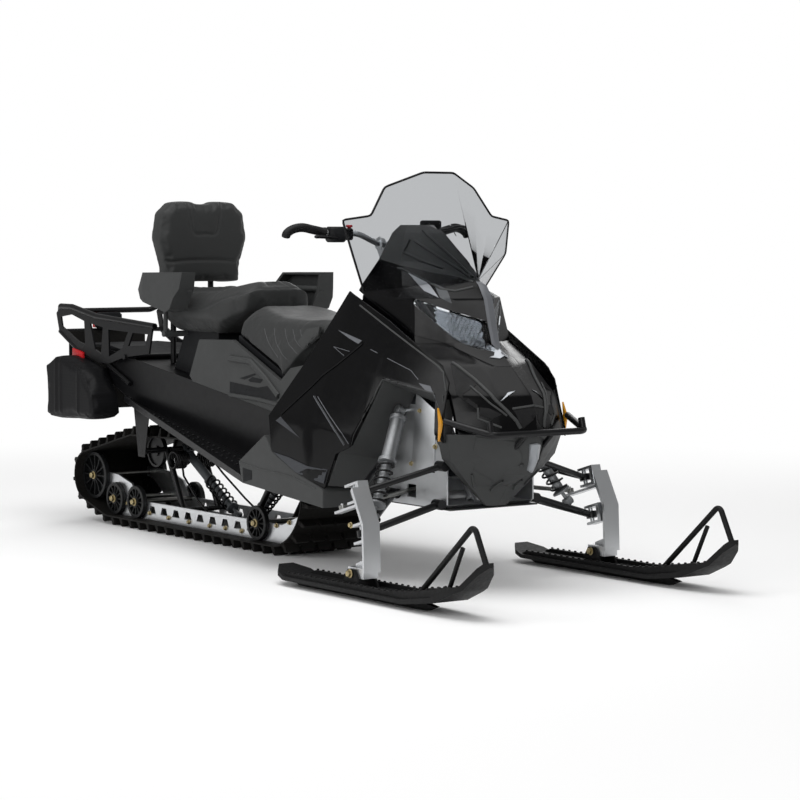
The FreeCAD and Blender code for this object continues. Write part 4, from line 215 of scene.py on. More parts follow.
# Zinc plating darkens the steel of axles and tie rods to a slightly mottled grey.
axle_steel = metal("zinc_plated_steel", "#8f8f8c", 0.36, 0.06, 8, depth=0.01)
# Yellow zinc gives bolt heads a pale gold that marks them against the black.
yellow_zinc = metal("yellow_zinc_bolt_head", "#b5a67f", 0.42, 0.06, 6, depth=0.01)
# Metal film in the lamps is close to a mirror; its colour is darkened to a grey as painted shade inside the
# closed lamp.
lamp_mirror_painted_shade = metal("reflector_with_painted_shade", "#4c4e50", 0.12, 0.04, 9, depth=1.0)
# Anodising leaves the damper tubes matte and without sparkle.
damper_grey = metal("anodised_damper_tube", "#9a9c9e", 0.52, 0.05, 10, depth=0.005)
# Powder coat hides the steel's colour under black plastic with a fine orange peel.
powder_black = grained("black_powder_coat_on_steel", "#08080a", "#0d0d0f", 0.34, 0.05, 2.4, 0.1, IOR=1.5,
                       Specular_IOR_Level=0.32)
# Grey paint on the upper frame is smooth and half dull.
grey_paint = grained("grey_painted_steel", "#4b4e51", "#55585b", 0.42, 0.05, 2.4, 0.1, IOR=1.5,
                     Specular_IOR_Level=0.3)
print("metals:", [m.name for m in (forged, pressed, rail_alloy, axle_steel, yellow_zinc)])

# %% [markdown]
# ## Clear and coloured lenses
# The windshield is a smoked polycarbonate sheet 4 mm thick, and the lamps have
# clear polycarbonate lenses. Both are full transmission, so what is behind them
# shows darkened or nearly clear, with a sharp reflection on the skin. A faint
# haze in the roughness keeps a large sheet from looking like air. The IOR is set
# low, because a thin sheet hardly bends the light that passes it.

# %% Lens finishes
def clear_plastic(name, code, rough, haze, **sockets):
    """Transparent plastic, whose colour is what light loses at each face."""
    material, tree, shader, place = new_finish(name, code, rough, Transmission_Weight=1.0, **sockets)
    mist = add(tree, "ShaderNodeTexNoise", Vector=place, Scale=per_metre(90), Detail=3.0)
    level = add(tree, "ShaderNodeMapRange", Value=mist.outputs["Fac"], To_Min=rough, To_Max=rough + haze)
    tree.links.new(level.outputs["Result"], shader.inputs["Roughness"])
    return material


# Smoked sheet: it greys what is behind it and stays clear.
smoke = clear_plastic("smoked_polycarbonate", "#b9bbbd", 0.0, 0.04, IOR=1.04, Specular_IOR_Level=0.4)
# Lamp lens: almost colourless, with a crisp reflection.
clear_lens = clear_plastic("clear_polycarbonate", "#e4e8ec", 0.0, 0.03, IOR=1.12, Specular_IOR_Level=0.5)
# Frosted lens patch beside each lamp: pale grey, closed to the eye.
pale_lens = grained("pearl_lens_patch", "#8d9094", "#989ba0", 0.3, 0.04, 6, 0.05, IOR=1.585)
# Moulded reflectors: small cells behind a smooth face break the light up.
red_lens = grained("red_moulded_reflector", "#b3141b", "#c21d22", 0.2, 0.03, 3.2, 0.4, voronoi=True,
                   IOR=1.49)
amber_lens = grained("amber_moulded_reflector", "#b9801a", "#df9a1c", 0.2, 0.03, 3.2, 0.4, voronoi=True,
                     IOR=1.49)
print("lenses:", [m.name for m in (smoke, clear_lens, pale_lens, red_lens, amber_lens)])

# %% [markdown]
# ## Rubber, vinyl and bag cloth
# The track is moulded rubber over fabric, dull, and browner where it has rubbed.
# The seats wear a matte marine vinyl with a leather grain of about 1.5 mm, drawn
# at 2.5 mm so that it shows. The bags are coated woven nylon. Its threads are far
# too fine to show, so the weave is drawn as soft ribs about 13 mm apart.

# %% Soft finishes
# Moulded rubber: dull black, a little brown where it has rubbed.
track_rubber = grained("track_rubber", "#0d0c0b", "#151310", 0.66, 0.06, 3.5, 0.3, cloud_mm=60, IOR=1.52,
                       Specular_IOR_Level=0.25)
# Softer and cleaner rubber on the grips and the windshield's edge, with a slight sheen.
grip_rubber = grained("grip_rubber", "#08080a", "#0c0c0e", 0.55, 0.05, 2.0, 0.2, IOR=1.52,
                      Specular_IOR_Level=0.25)
# Matte charcoal vinyl: leather grain, and a faint bloom where the eye grazes it.
seat_vinyl = grained("matte_seat_vinyl", "#2a2b2b", "#303131", 0.52, 0.05, 2.5, 0.25, voronoi=True,
                     Sheen_Weight=0.06, Sheen_Roughness=0.5, Specular_IOR_Level=0.25)
wave_period = 2 * math.pi / 20  # a wave texture at scale 1 repeats after this many metres


def woven(name, code, other, rough, rib_mm, depth, **sockets):
    """Two sets of ribs that cross, in the colours of the two threads."""
    material, tree, shader, place = new_finish(name, code, rough, **sockets)
    ribs = []
    for way in ("X", "Z"):
        wave = add(tree, "ShaderNodeTexWave", {"bands_direction": way}, Vector=place,
                   Scale=per_metre(rib_mm) * wave_period, Distortion=0.3, Detail=1.0)
        ribs.append(wave.outputs["Fac"])
    crossed = add(tree, "ShaderNodeMath", {"operation": "MULTIPLY"}, s0=ribs[0], s1=ribs[1])
    tint = add(tree, "ShaderNodeMix", {"data_type": "RGBA"}, s0=crossed.outputs[0],
               s6=colour(code), s7=colour(other))
    tree.links.new(tint.outputs[2], shader.inputs["Base Color"])
    bump = add(tree, "ShaderNodeBump", Height=crossed.outputs[0], Distance=depth / 1000, Strength=0.7)
    tree.links.new(bump.outputs["Normal"], shader.inputs["Normal"])
    return material


# Coated nylon: black, with its weave just to be seen where light grazes it.
bag_cloth = woven("coated_nylon_bag_cloth", "#08080a", "#101013", 0.55, 12.566, 0.2,
                  Specular_IOR_Level=0.22)
print("soft goods:", track_rubber.name, seat_vinyl.name, bag_cloth.name)

# %% [markdown]
# ## Finishes on the CAD solids
# A real part never ends in a knife edge: a moulding or a bent sheet has a small
# radius that catches the light. The frame's solids come in as loose triangles, so
# a small node group welds them and smooths all but the sharp edges, and a Bevel
# modifier then rounds those. The solids' own meshes stay as they are.

# %% Weld, smooth and round the CAD solids
weld_gap = 0.00003


def smoothing_group(limit):
    """Node group that welds a solid and keeps edges sharp above a limit in degrees."""
    group = bpy.data.node_groups.new("weld_and_smooth", "GeometryNodeTree")
    group.interface.new_socket("Geometry", in_out="INPUT", socket_type="NodeSocketGeometry")
    group.interface.new_socket("Geometry", in_out="OUTPUT", socket_type="NodeSocketGeometry")
    start = group.nodes.new("NodeGroupInput").outputs[0]
    bare = add(group, "GeometryNodeRemoveAttribute", Geometry=start, Name="custom_normal")
    weld = add(group, "GeometryNodeMergeByDistance", Geometry=bare.outputs[0], Distance=weld_gap)
    smooth = add(group, "GeometryNodeSetShadeSmooth", {"domain": "FACE"}, s0=weld.outputs[0],
                 Shade_Smooth=True)
    angle = add(group, "GeometryNodeInputMeshEdgeAngle").outputs["Unsigned Angle"]
    sharp = add(group, "FunctionNodeCompare", {"operation": "GREATER_THAN"}, s0=angle, s1=math.radians(limit))
    edges = add(group, "GeometryNodeSetShadeSmooth", {"domain": "EDGE"}, s0=smooth.outputs[0],
                Selection=sharp.outputs[0], Shade_Smooth=False)
    add(group, "NodeGroupOutput", s0=edges.outputs[0])
    return group


smoothing = smoothing_group(28)


def dress(name, material, round_mm=0.0):
    """Gives a CAD solid its finish and rounds its sharp edges."""
    solid = nodes[name]
    solid.data.materials.clear()
    solid.data.materials.append(material)
    welded = solid.modifiers.new("weld and smooth", "NODES")
    welded.node_group = smoothing
    if round_mm:
        edge = solid.modifiers.new("rounded edges", "BEVEL")
        edge.width = round_mm / 1000
        edge.segments = 2
        edge.limit_method = "ANGLE"
        edge.angle_limit = math.radians(32)
        edge.use_clamp_overlap = True
        edge.harden_normals = True


print("smoothing group:", smoothing.name)

# %% Dress every CAD solid
# Each finish with its solids, and the radius in millimetres that rounds their edges.
finishes = {
    gloss_black: {"side_panel_right": 2, "side_panel_left": 2, "nose_mask": 1.5, "nose_fairing": 2},
    charcoal: {"cowl": 2, "console": 3, "seat_trims": 3, "toe_holds": 4, "hand_holds": 5, "belly_pan": 3},
    dark_plastic: {"fuel_tank": 4, "passenger_base": 3, "cargo_deck": 2, "bar_controls": 2,
                   "engine_block": 4},
    powder_black: {"tunnel": 1, "running_boards": 1, "front_bumper": 0, "lower_arms": 0, "upper_arms": 0,
                   "skid_arms": 0, "drop_brackets": 1, "backrest_frame": 0, "cargo_rack": 0},
    pressed: {"bulkhead": 1},
    grey_paint: {"upper_frame": 0, "front_shocks": 0, "skid_shocks": 0},
    forged: {"spindle_right": 2, "spindle_left": 2, "steering_post": 1.5, "handlebar": 0},
    rail_alloy: {"slide_rails": 1},
    axle_steel: {"tie_rod_right": 0, "tie_rod_left": 0},
    wheel_nylon: {"rail_wheels": 0, "drive_axle": 0},
    ski_plastic: {"ski_right": 2, "ski_left": 2},
    clear_lens: {"headlights": 1},
    smoke: {"windshield": 0},
    red_lens: {"tail_lamp": 2},
    seat_vinyl: {"driver_seat": 5, "passenger_seat": 5, "backrest": 5},
    bag_cloth: {"panniers": 8},
    track_rubber: {"track": 0, "snow_flap": 2},
    grip_rubber: {"grips": 0},
}
for material, group in finishes.items():
    for name, round_mm in group.items():
        dress(name, material, round_mm)
print("solids dressed:", sum(len(group) for group in finishes.values()), "of", len(nodes))

# %% [markdown]
# ## Drawing a shape
# Most pieces start as a circle whose corners are moved to a drawn outline. Extruding
# it and moving the new corners to the next outline gives a plate, a tube or a hull,
# just as by hand. A box from a primitive would need as many moves and keep hard,
# square ends. Doubles are merged and normals turned outwards at the end.

# %% Points, selection and doubles
def mm(x, y, z):
    """A point in millimetres as a vector in metres."""
    return Vector((x, y, z)) / 1000


def dots(points):
    """Points in millimetres as vectors."""
    return [mm(*point) for point in points]


def select_nothing():
    """Leaves edit mode and deselects everything."""
    if bpy.context.object and bpy.context.object.mode != "OBJECT":
        bpy.ops.object.mode_set(mode="OBJECT")
    bpy.ops.object.select_all(action="DESELECT")


def activate(piece):
    """Selects one piece alone."""
    select_nothing()
    piece.select_set(True)
    bpy.context.view_layer.objects.active = piece


def tidy_mesh(piece, merge=0.00001, outward=True):
    """Merges doubles and turns the faces outwards."""
    if bpy.context.object is not piece or piece.mode != "EDIT":
        activate(piece)
        bpy.ops.object.mode_set(mode="EDIT")
    bpy.ops.mesh.select_all(action="SELECT")
    bpy.ops.mesh.remove_doubles(threshold=merge)
    if outward:
        bpy.ops.mesh.normals_make_consistent(inside=False)
    bpy.ops.object.mode_set(mode="OBJECT")


print("selection helpers ready")

# %% Rings and lofts
def ring(name, points, filled=True):
    """A circle with its corners moved to points. It stays in edit mode, all selected."""
    select_nothing()
    fill = "NGON" if filled else "NOTHING"
    bpy.ops.mesh.primitive_circle_add(vertices=len(points), radius=0.01, fill_type=fill)
    piece = bpy.context.object
    piece.name = piece.data.name = name
    bpy.ops.object.mode_set(mode="EDIT")
    shape = bmesh.from_edit_mesh(piece.data)
    shape.verts.ensure_lookup_table()
    for corner, point in zip(shape.verts, points):
        corner.co = point
    bmesh.update_edit_mesh(piece.data)
    return piece


def extrude_to(piece, old, new):
    """Extrudes what is selected and moves each corner from its old point to the new one."""
    bpy.ops.mesh.extrude_region_move()
    shape = bmesh.from_edit_mesh(piece.data)
    for corner in [v for v in shape.verts if v.select]:
        nearest = min(range(len(old)), key=lambda k: (corner.co - old[k]).length_squared)
        corner.co = new[nearest]
    bmesh.update_edit_mesh(piece.data)


def loft(name, rings, closed=False):
    """A skin over outlines. Its two ends are filled, or joined to each other if closed."""
    piece = ring(name, rings[0], filled=not closed)
    for old, new in zip(rings, rings[1:]):
        extrude_to(piece, old, new)
    if closed:
        bpy.ops.mesh.select_all(action="DESELECT")
        bpy.ops.mesh.select_non_manifold(extend=False, use_wire=False, use_multi_face=False,
                                         use_non_contiguous=False, use_verts=False)
        bpy.ops.mesh.bridge_edge_loops()
    tidy_mesh(piece)
    return piece


print("drawing helpers ready")

# %% [markdown]
# ## Finishing and copying
# Every piece gets the same last steps: rounded edges, its place applied to its mesh,
# smooth shading, a finish and a body to ride on. What repeats is modelled
# once and copied, each copy with its own mesh, and then joined into one piece.

# %% Finishes and copies
def apply_modifier(piece, kind, **settings):
    """Adds a modifier with its settings and applies it."""
    activate(piece)
    modifier = piece.modifiers.new(kind.lower(), kind)
    for name, value in settings.items():
        setattr(modifier, name, value)
    bpy.ops.object.modifier_apply(modifier=modifier.name)


def finish(piece, material, body="chassis", round_mm=0.0, smooth=30, instead_of=(), outward=True):
    """The last steps of every piece."""
    tidy_mesh(piece, outward=outward)
    if round_mm:
        apply_modifier(piece, "BEVEL", width=round_mm / 1000, segments=2, limit_method="ANGLE",
                       angle_limit=math.radians(35))
    activate(piece)
    bpy.ops.object.transform_apply(location=True, rotation=True, scale=True)
    bpy.ops.object.shade_smooth_by_angle(angle=math.radians(smooth))
    piece.data.materials.clear()
    piece.data.materials.append(material)
    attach(piece, body)
    if instead_of:
        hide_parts(*instead_of)
    print(piece.name, len(piece.data.polygons), "faces on", body)
    return piece


def join(name, pieces):
    """Joins pieces into one object at the origin."""
    select_nothing()
    for piece in pieces:
        piece.select_set(True)
    bpy.context.view_layer.objects.active = pieces[0]
    if len(pieces) > 1:
        bpy.ops.object.join()
    bpy.ops.object.transform_apply(location=True, rotation=True, scale=True)
    joined = bpy.context.object
    joined.name = joined.data.name = name
    return joined


def copy_to(piece, place):
    """A copy with its own mesh, put at a place matrix."""
    activate(piece)
    bpy.ops.object.duplicate(linked=False)
    copy = bpy.context.object
    copy.matrix_world = place @ piece.matrix_world
    return copy


def spread(name, model, places):
    """Copies of a small model at many places, joined. The model itself goes."""
    copies = [copy_to(model, place) for place in places]
    bpy.data.objects.remove(model)
    return join(name, copies)


MIRROR = Matrix.Scale(-1, 4, (0, 1, 0))


def both_sides(piece):
    """The piece and its mirror image on the other side, joined."""
    name = piece.name
    piece.name = "one_side"
    return join(name, [piece, copy_to(piece, MIRROR)])


print("finishing helpers ready")

# %% [markdown]
# ## Tubes and turned pieces
# A tube is a loft of circles along a line, and a turned piece is a loft of circles
# of changing radius up the Z axis, as on a lathe. A smooth line through a few points
# bends the tube the way a bender does, with no kinks.

# %% Tubes and turned pieces
def frame_at(point, along, up=(0, 0, 1)):
    """A matrix that puts an object's Z along a direction at a point."""
    z = Vector(along).normalized()
    x = Vector(up).cross(z)
    if x.length < 1e-4:
        x = Vector((1, 0, 0)).cross(z)
    x.normalize()
    turn = Matrix((x, z.cross(x), z)).transposed()
    return Matrix.Translation(point) @ turn.to_4x4()


def smooth_line(points, steps=8):
    """Points on a smooth line through the given ones."""
    last = len(points) - 1
    line = []
    for index in range(last):
        a, b, c, e = (points[min(max(k, 0), last)] for k in (index - 1, index, index + 1, index + 2))
        for step in range(steps):
            t = step / steps
            line.append(0.5 * ((2 * b) + (c - a) * t + (2 * a - 5 * b + 4 * c - e) * t * t
                               + (3 * b - a - 3 * c + e) * t * t * t))
    return line + [points[-1]]


def pipe(name, line, radius, sides=10, flat=1.0):
    """A tube along a line. radius may be a list, and flat squeezes it."""
    last = len(line) - 1
    rings = []
    side = None
    for index, point in enumerate(line):
        along = (line[min(index + 1, last)] - line[max(index - 1, 0)]).normalized()
        if side is None:
            side = Vector((0, 0, 1)).cross(along)
            if side.length < 1e-3:
                side = Vector((1, 0, 0)).cross(along)
        side = (side - along * side.dot(along)).normalized()
        rise = along.cross(side)
        width = radius[index] if isinstance(radius, list) else radius
        rings.append([point + (side * math.cos(turn) + rise * math.sin(turn) * flat) * width / 1000
                      for turn in (2 * math.pi * k / sides for k in range(sides))])
    return loft(name, rings)


def turned(name, profile, sides=32):
    """A solid of revolution about Z: profile is (radius, height) in millimetres."""
    turns = [2 * math.pi * k / sides for k in range(sides)]
    return loft(name, [[mm(r * math.cos(a), r * math.sin(a), h) for a in turns] for r, h in profile])


print("tube helpers ready")

# %% [markdown]
# ## Bolt heads
# Hex flange bolts in yellow zinc hold the bulkhead, arms and skid together. One is
# modelled: a washer flange, a six-sided head with a chamfer and a shallow dish.
# It is then copied to each joint that shows.

# %% A hex flange bolt
def hex_bolt(size):
    """A bolt head with its seat at the origin, pointing up Z. size is across flats."""
    flange = turned("flange", [(size * 0.75, 0), (size * 0.78, size * 0.1), (size * 0.55, size * 0.2)], 20)
    head = ring("head", [mm(size * 0.577 * math.cos(a), size * 0.577 * math.sin(a), size * 0.1)
                         for a in (math.pi / 3 * k for k in range(6))])
    bpy.ops.mesh.extrude_region_move(TRANSFORM_OT_translate={"value": (0, 0, size * 0.5 / 1000)})
    bpy.ops.mesh.inset(thickness=size * 0.06 / 1000)
    bpy.ops.transform.translate(value=(0, 0, size * 0.05 / 1000))
    bpy.ops.mesh.inset(thickness=size * 0.12 / 1000)
    bpy.ops.transform.translate(value=(0, 0, -size * 0.07 / 1000))
    tidy_mesh(head)
    return join("bolt_head", [flange, head])


def bolts(name, places, size=13, material=yellow_zinc, body="chassis"):
    """Bolt heads at (point, direction) pairs in millimetres."""
    spots = [frame_at(mm(*point), way) for point, way in places]
    return finish(spread(name, hex_bolt(size), spots), material, body)


print("bolt model ready")

# %% [markdown]
# ## Floor and light
# The photograph is a cut-out look: a white floor that fades into a white backdrop,
# with a soft shadow under the machine. The floor is matte near the machine and
# turns into plain white away from it, and the lamps are large and soft.

# %% Floor
def seen_directly(tree, rays):
    """1 for what the camera sees, by itself or through the windshield."""
    seen = add(tree, "ShaderNodeMath", {"operation": "MAXIMUM"}, s0=rays["Is Camera Ray"],
               s1=rays["Is Transmission Ray"])
    return seen.outputs[0]


def white_floor():
    """A plane that is matte near the machine and fades to plain white."""
    select_nothing()
    bpy.ops.mesh.primitive_plane_add(size=floor_size, location=(0, 0, 0))
    floor = bpy.context.object
    floor.name = "floor"
    material = bpy.data.materials.new("matte_white_floor")
    material.use_nodes = True
    tree = material.node_tree
    tree.nodes.clear()
    place = add(tree, "ShaderNodeTexCoord").outputs["Object"]
    far = add(tree, "ShaderNodeVectorMath", {"operation": "LENGTH"}, s0=place).outputs["Value"]
    fade = add(tree, "ShaderNodeMapRange", {"interpolation_type": "SMOOTHSTEP"}, Value=far,
               From_Min=fade_from, From_Max=fade_to)
    seen = seen_directly(tree, add(tree, "ShaderNodeLightPath").outputs)
    share = add(tree, "ShaderNodeMath", {"operation": "MULTIPLY"}, s0=fade.outputs["Result"], s1=seen)
    matte = add(tree, "ShaderNodeBsdfDiffuse", Color=colour("#fafafa"))
    white = add(tree, "ShaderNodeEmission", Color=(1, 1, 1, 1), Strength=1.0)
    mixed = add(tree, "ShaderNodeMixShader", s0=share.outputs[0], s1=matte.outputs[0], s2=white.outputs[0])
    add(tree, "ShaderNodeOutputMaterial", Surface=mixed.outputs[0])
    floor.data.materials.append(material)
    return floor


fade_from, fade_to = 2.0, 5.5
print("floor:", white_floor().name)

# %% Lamps and backdrop
def lamp(name, place, target, size, power):
    """A soft rectangular lamp at a place in metres, turned to its target, in watts."""
    data = bpy.data.lights.new(name, "AREA")
    data.shape = "RECTANGLE"
    data.size, data.size_y = size
    data.energy = power
    thing = bpy.data.objects.new(name, data)
    bpy.context.scene.collection.objects.link(thing)
    thing.matrix_world = frame_at(Vector(place), Vector(place) - Vector(target))
    return thing


lamp("overhead_softbox", (0.5, -0.8, 5.0), (0, 0, 0.4), (5.0, 4.0), 165)
lamp("front_softbox", (5.5, -4.5, 3.2), (0.4, 0, 0.6), (2.5, 2.5), 80)
lamp("side_softbox", (-1.5, -5.5, 2.6), (-0.4, 0, 0.6), (3.5, 2.0), 65)
lamp("back_softbox", (-3.5, 4.0, 3.4), (0, 0, 0.6), (3.0, 2.5), 60)
world = bpy.data.worlds.new("white_backdrop")
bpy.context.scene.world = world
world.use_nodes = True
sky = world.node_tree
sky.nodes.clear()
rays = add(sky, "ShaderNodeLightPath").outputs
seen = seen_directly(sky, rays)
mirrored = add(sky, "ShaderNodeMapRange", Value=rays["Is Glossy Ray"], To_Min=0.45, To_Max=0.3)
strength = add(sky, "ShaderNodeMix", s0=seen, s2=mirrored.outputs["Result"], s3=1.0)
back = add(sky, "ShaderNodeBackground", Color=(1, 1, 1, 1), Strength=strength.outputs[0])
add(sky, "ShaderNodeOutputWorld", Surface=back.outputs[0])

# %% [markdown]
# ## Seats and backrest
# The seats and the backrest are foam under stretched vinyl, so their faces crown
# and their edges are full and round. Each starts as a copy of its CAD solid. It is
# remeshed into even squares, drawn in a little, and blown up with Cloth pressure as
# foam pushes its cover out. The movement is capped, so that the cushion stays in
# its place, and sewn channels are pressed in afterwards.

# %% Foam cushions
def coordinates(mesh, field="co"):
    """A field of a mesh's points, as rows of three numbers."""
    values = np.empty(len(mesh.vertices) * 3)
    mesh.vertices.foreach_get(field, values)
    return values.reshape(-1, 3)


cloth_frames = 20


def blow_up(piece, pressure, cap_mm):
    """Cloth pressure for a few frames, with each point's movement capped."""
    before = coordinates(piece.data)
    cloth = piece.modifiers.new("foam pressure", "CLOTH")
    cloth.settings.use_pressure = True
    cloth.settings.uniform_pressure_force = pressure
    cloth.settings.effector_weights.gravity = 0
    cloth.point_cache.frame_end = cloth_frames
    for number in range(1, cloth_frames + 1):
        bpy.context.scene.frame_set(number)
    activate(piece)
    bpy.ops.object.modifier_apply(modifier=cloth.name)
    moved = coordinates(piece.data) - before
    moved -= moved.mean(axis=0)
    length = np.linalg.norm(moved, axis=1, keepdims=True)
    moved *= np.minimum(1, cap_mm / 1000 / np.maximum(length, 1e-9))
    piece.data.vertices.foreach_set("co", (before + moved).ravel())
    piece.data.update()
    bpy.context.scene.frame_set(1)


def cushion(name, node, square_mm, draw_in_mm, cap_mm, rounds, pressure=4.0):
    """A foam cushion from the CAD solid of the same place."""
    piece = bpy.data.objects.new(name, nodes[node].data.copy())
    piece.data.name = name
    bpy.context.scene.collection.objects.link(piece)
    tidy_mesh(piece, weld_gap, outward=False)
    piece.data.remesh_voxel_size = square_mm / 1000
    bpy.ops.object.voxel_remesh()
    apply_modifier(piece, "SMOOTH", factor=0.5, iterations=rounds)
    bpy.ops.object.mode_set(mode="EDIT")
    bpy.ops.mesh.select_all(action="SELECT")
    bpy.ops.transform.shrink_fatten(value=-draw_in_mm / 1000)
    bpy.ops.object.mode_set(mode="OBJECT")
    blow_up(piece, pressure, cap_mm)
    return piece


print("cushion helpers ready")

# %% Channels, covers and the three cushions
def on_surface(piece, points):
    """The nearest points on a piece's surface."""
    tree = BVHTree.FromObject(piece, bpy.context.evaluated_depsgraph_get())
    return [tree.find_nearest(point)[0] for point in points]


def press_channel(piece, line, width_mm, depth_mm):
    """Presses a sewn channel into a soft piece along a line laid on it."""
    line = np.array([list(p) for p in line])
    here = coordinates(piece.data)
    outward = coordinates(piece.data, field="normal")
    near = np.full(len(here), 1e9)
    for a, b in zip(line, line[1:]):
        along = b - a
        share = np.clip((here - a) @ along / max(along @ along, 1e-12), 0, 1)
        near = np.minimum(near, np.linalg.norm(here - a - share[:, None] * along, axis=1))
    part = np.clip(1 - (near * 1000 / width_mm) ** 2, 0, 1) ** 2
    piece.data.vertices.foreach_set("co", (here - outward * (part * depth_mm / 1000)[:, None]).ravel())
    piece.data.update()


def cover(piece, node):
    """Subdivides a cushion once and finishes it in vinyl."""
    apply_modifier(piece, "SUBSURF", levels=1, render_levels=1)
    finish(piece, seat_vinyl, "chassis", smooth=60, instead_of=(node,), outward=False)


# Polyester thread: dull mid grey, to show on the charcoal vinyl.
grey_thread = grained("grey_polyester_thread", "#4b4c4e", "#525355", 0.6, 0.04, 1.2, 0.1, IOR=1.5)
# Side of a square, draw-in and cap in millimetres, then rounds of smoothing.
driver = cushion("driver_seat_cushion", "driver_seat", 8, 3, 12, 36)
passenger = cushion("passenger_seat_cushion", "passenger_seat", 8, 3, 10, 36)
rest = cushion("backrest_cushion", "backrest", 6, 3, 12, 44)
print("cushions:", [len(p.data.polygons) for p in (driver, passenger, rest)])

# %% [markdown]
# ## Seams and stitching
# Five curved rows of stitching run down each side of the driver's seat, and seams
# follow the fronts of the passenger seat and the backrest. Each is drawn by a few
# points, laid on the cushion and pressed in after the remesh, which would have
# erased it. The stitching thread is a thin tube in its channel.

# %% Sewn channels and covers
driver_rows = (
    [(-143, -205, 880), (-92, -220, 824), (-25, -223, 770)],
    [(-83, -204, 886), (-28, -222, 819), (44, -223, 765)],
    [(-7, -203, 888), (42, -218, 833), (104, -223, 787)],
    [(48, -203, 886), (86, -215, 843), (143, -222, 807)],
    [(95, -203, 888), (125, -213, 855), (175, -218, 830)],
)
passenger_seams = (
    [(-380, -190, 1046), (-520, -205, 960), (-640, -205, 940), (-860, -190, 960)],
    [(-330, 0, 1040), (-345, -120, 1035), (-380, -190, 1010), (-350, -215, 940)],
)
backrest_seams = (
    [(-80, 1375), (-70, 1310), (-52, 1240), (0, 1236), (52, 1240), (70, 1310), (80, 1375)],
    [(-205, 1118), (-90, 1128), (0, 1130), (90, 1128), (205, 1118)],
)


def sew(piece, lines, width_mm, depth_mm):
    """Presses lines given for the right side, and their mirror images, into a cushion."""
    sewn = []
    for points in lines:
        for side in (1, -1):
            drawn = on_surface(piece, smooth_line([mm(x, y * side, z) for x, y, z in points]))
            press_channel(piece, drawn, width_mm, depth_mm)
            sewn.append(drawn)
    return sewn


threads = sew(driver, driver_rows, 8, 2)
sew(passenger, passenger_seams, 11, 4)
backrest_front = -886
for points in backrest_seams:
    drawn = on_surface(rest, smooth_line([mm(backrest_front, y, z) for y, z in points], 6))
    press_channel(rest, drawn, 10, 5)
cover(driver, "driver_seat")
cover(passenger, "passenger_seat")
cover(rest, "backrest")
thread_radius = 0.9
rows = [pipe("row", on_surface(driver, line), thread_radius, 5) for line in threads]
finish(join("seat_stitching", rows), grey_thread, "chassis", smooth=60)

# %% [markdown]
# ## Side bags
# The two bags are coated nylon over foam boards. Three upright folds stiffen each
# outer wall, and the cloth between them sags a little. The CAD solid is remeshed,
# softened and filled a little, and the folds are then raised along lines laid on
# it, as a channel with a negative depth.

# %% Side bags
fold_shares = (0.24, 0.34, 0.7)
fold_wide, fold_high, fold_margin = 13, 5, 0.03
bags = cushion("side_bags", "panniers", 7, 2, 6, 3, pressure=1.5)
low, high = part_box("panniers")
for side in (1, -1):
    wall = high.y if side > 0 else low.y
    for share in fold_shares:
        x = low.x + (high.x - low.x) * share
        heights = np.linspace(low.z + fold_margin, high.z - fold_margin, 14)
        fold = on_surface(bags, [Vector((x, wall, z)) for z in heights])
        press_channel(bags, fold, fold_wide, -fold_high)
finish(bags, bag_cloth, "chassis", smooth=60, instead_of=("panniers",), outward=False)

# %% [markdown]
# ## Track
# The track is one rubber belt that runs round the drive sprockets, the carrier
# wheels, the rear idlers and the rails. Its path is worked out from the wheels'
# places, as straight runs and arcs. Each lug is a tapered paddle bar with five
# blocks and a low web between them. One lug is modelled and copied along the path.

# %% Path of the track
floor_gap = 41  # from the ground to the belt's inner face
belt_thick, belt_half, lug_pitch = 6, 190.5, 72.6
small_wheel, idler_wheel, drive_wheel, rail_bend = 69, 102, 94, 215
# X, Z and radius of each circle that the belt's inner face runs round.
loop_circles = [(-1374, floor_gap + small_wheel, small_wheel), (-1545, 196, idler_wheel),
                (-1165, 324, small_wheel), (20, 330, drive_wheel), (-114, floor_gap + rail_bend, rail_bend)]


def loop_runs(grow):
    """Arcs and straight runs round the circles, at a distance outside the belt's inner face."""
    count = len(loop_circles)
    turns = []
    for index in range(count):
        ax, az, ar = loop_circles[index]
        bx, bz, br = loop_circles[(index + 1) % count]
        turns.append(math.atan2(bz - az, bx - ax) + math.acos((ar - br) / math.hypot(bx - ax, bz - az)))
    runs = []
    for index in range(count):
        cx, cz, r = loop_circles[index]
        begin, end = turns[index - 1], turns[index]
        while end > begin:
            end -= 2 * math.pi
        nx, nz, nr = loop_circles[(index + 1) % count]
        away = Vector((math.cos(end), math.sin(end)))
        runs.append(("arc", Vector((cx, cz)), r + grow, begin, end))
        runs.append(("run", Vector((cx, cz)) + away * (r + grow), Vector((nx, nz)) + away * (nr + grow)))
    return runs


def run_long(run):
    """Length of an arc or a straight run."""
    return run[2] * (run[3] - run[4]) if run[0] == "arc" else (run[2] - run[1]).length


def spot_on(runs, distance):
    """Place and outward direction at a distance along the path."""
    for run in runs:
        if distance <= run_long(run):
            if run[0] == "arc":
                turn = run[3] - distance / run[2]
                out = Vector((math.cos(turn), math.sin(turn)))
                return run[1] + out * run[2], out
            way = (run[2] - run[1]).normalized()
            return run[1] + way * distance, Vector((-way.y, way.x))
        distance -= run_long(run)
    return spot_on(runs, 0)


outer = loop_runs(belt_thick)
loop_long = sum(run_long(run) for run in outer)
lug_count = round(loop_long / lug_pitch)
print("track loop", round(loop_long), "mm,", lug_count, "lugs")

# %% Belt and lugs
square = ((-1, -1), (1, -1), (1, 1), (-1, 1))
block_high = 34.5
block_rows = ((-150, 70), (-73, 62), (0, 66), (73, 62), (150, 70))  # middle and width
block_steps = ((0, 22, 0), (0.25, 19, 2), (0.85, 13, 4), (1, 9, 7))  # share of height, thickness, taper
web_half_long, web_half_thick, web_high = 186, 8, 12


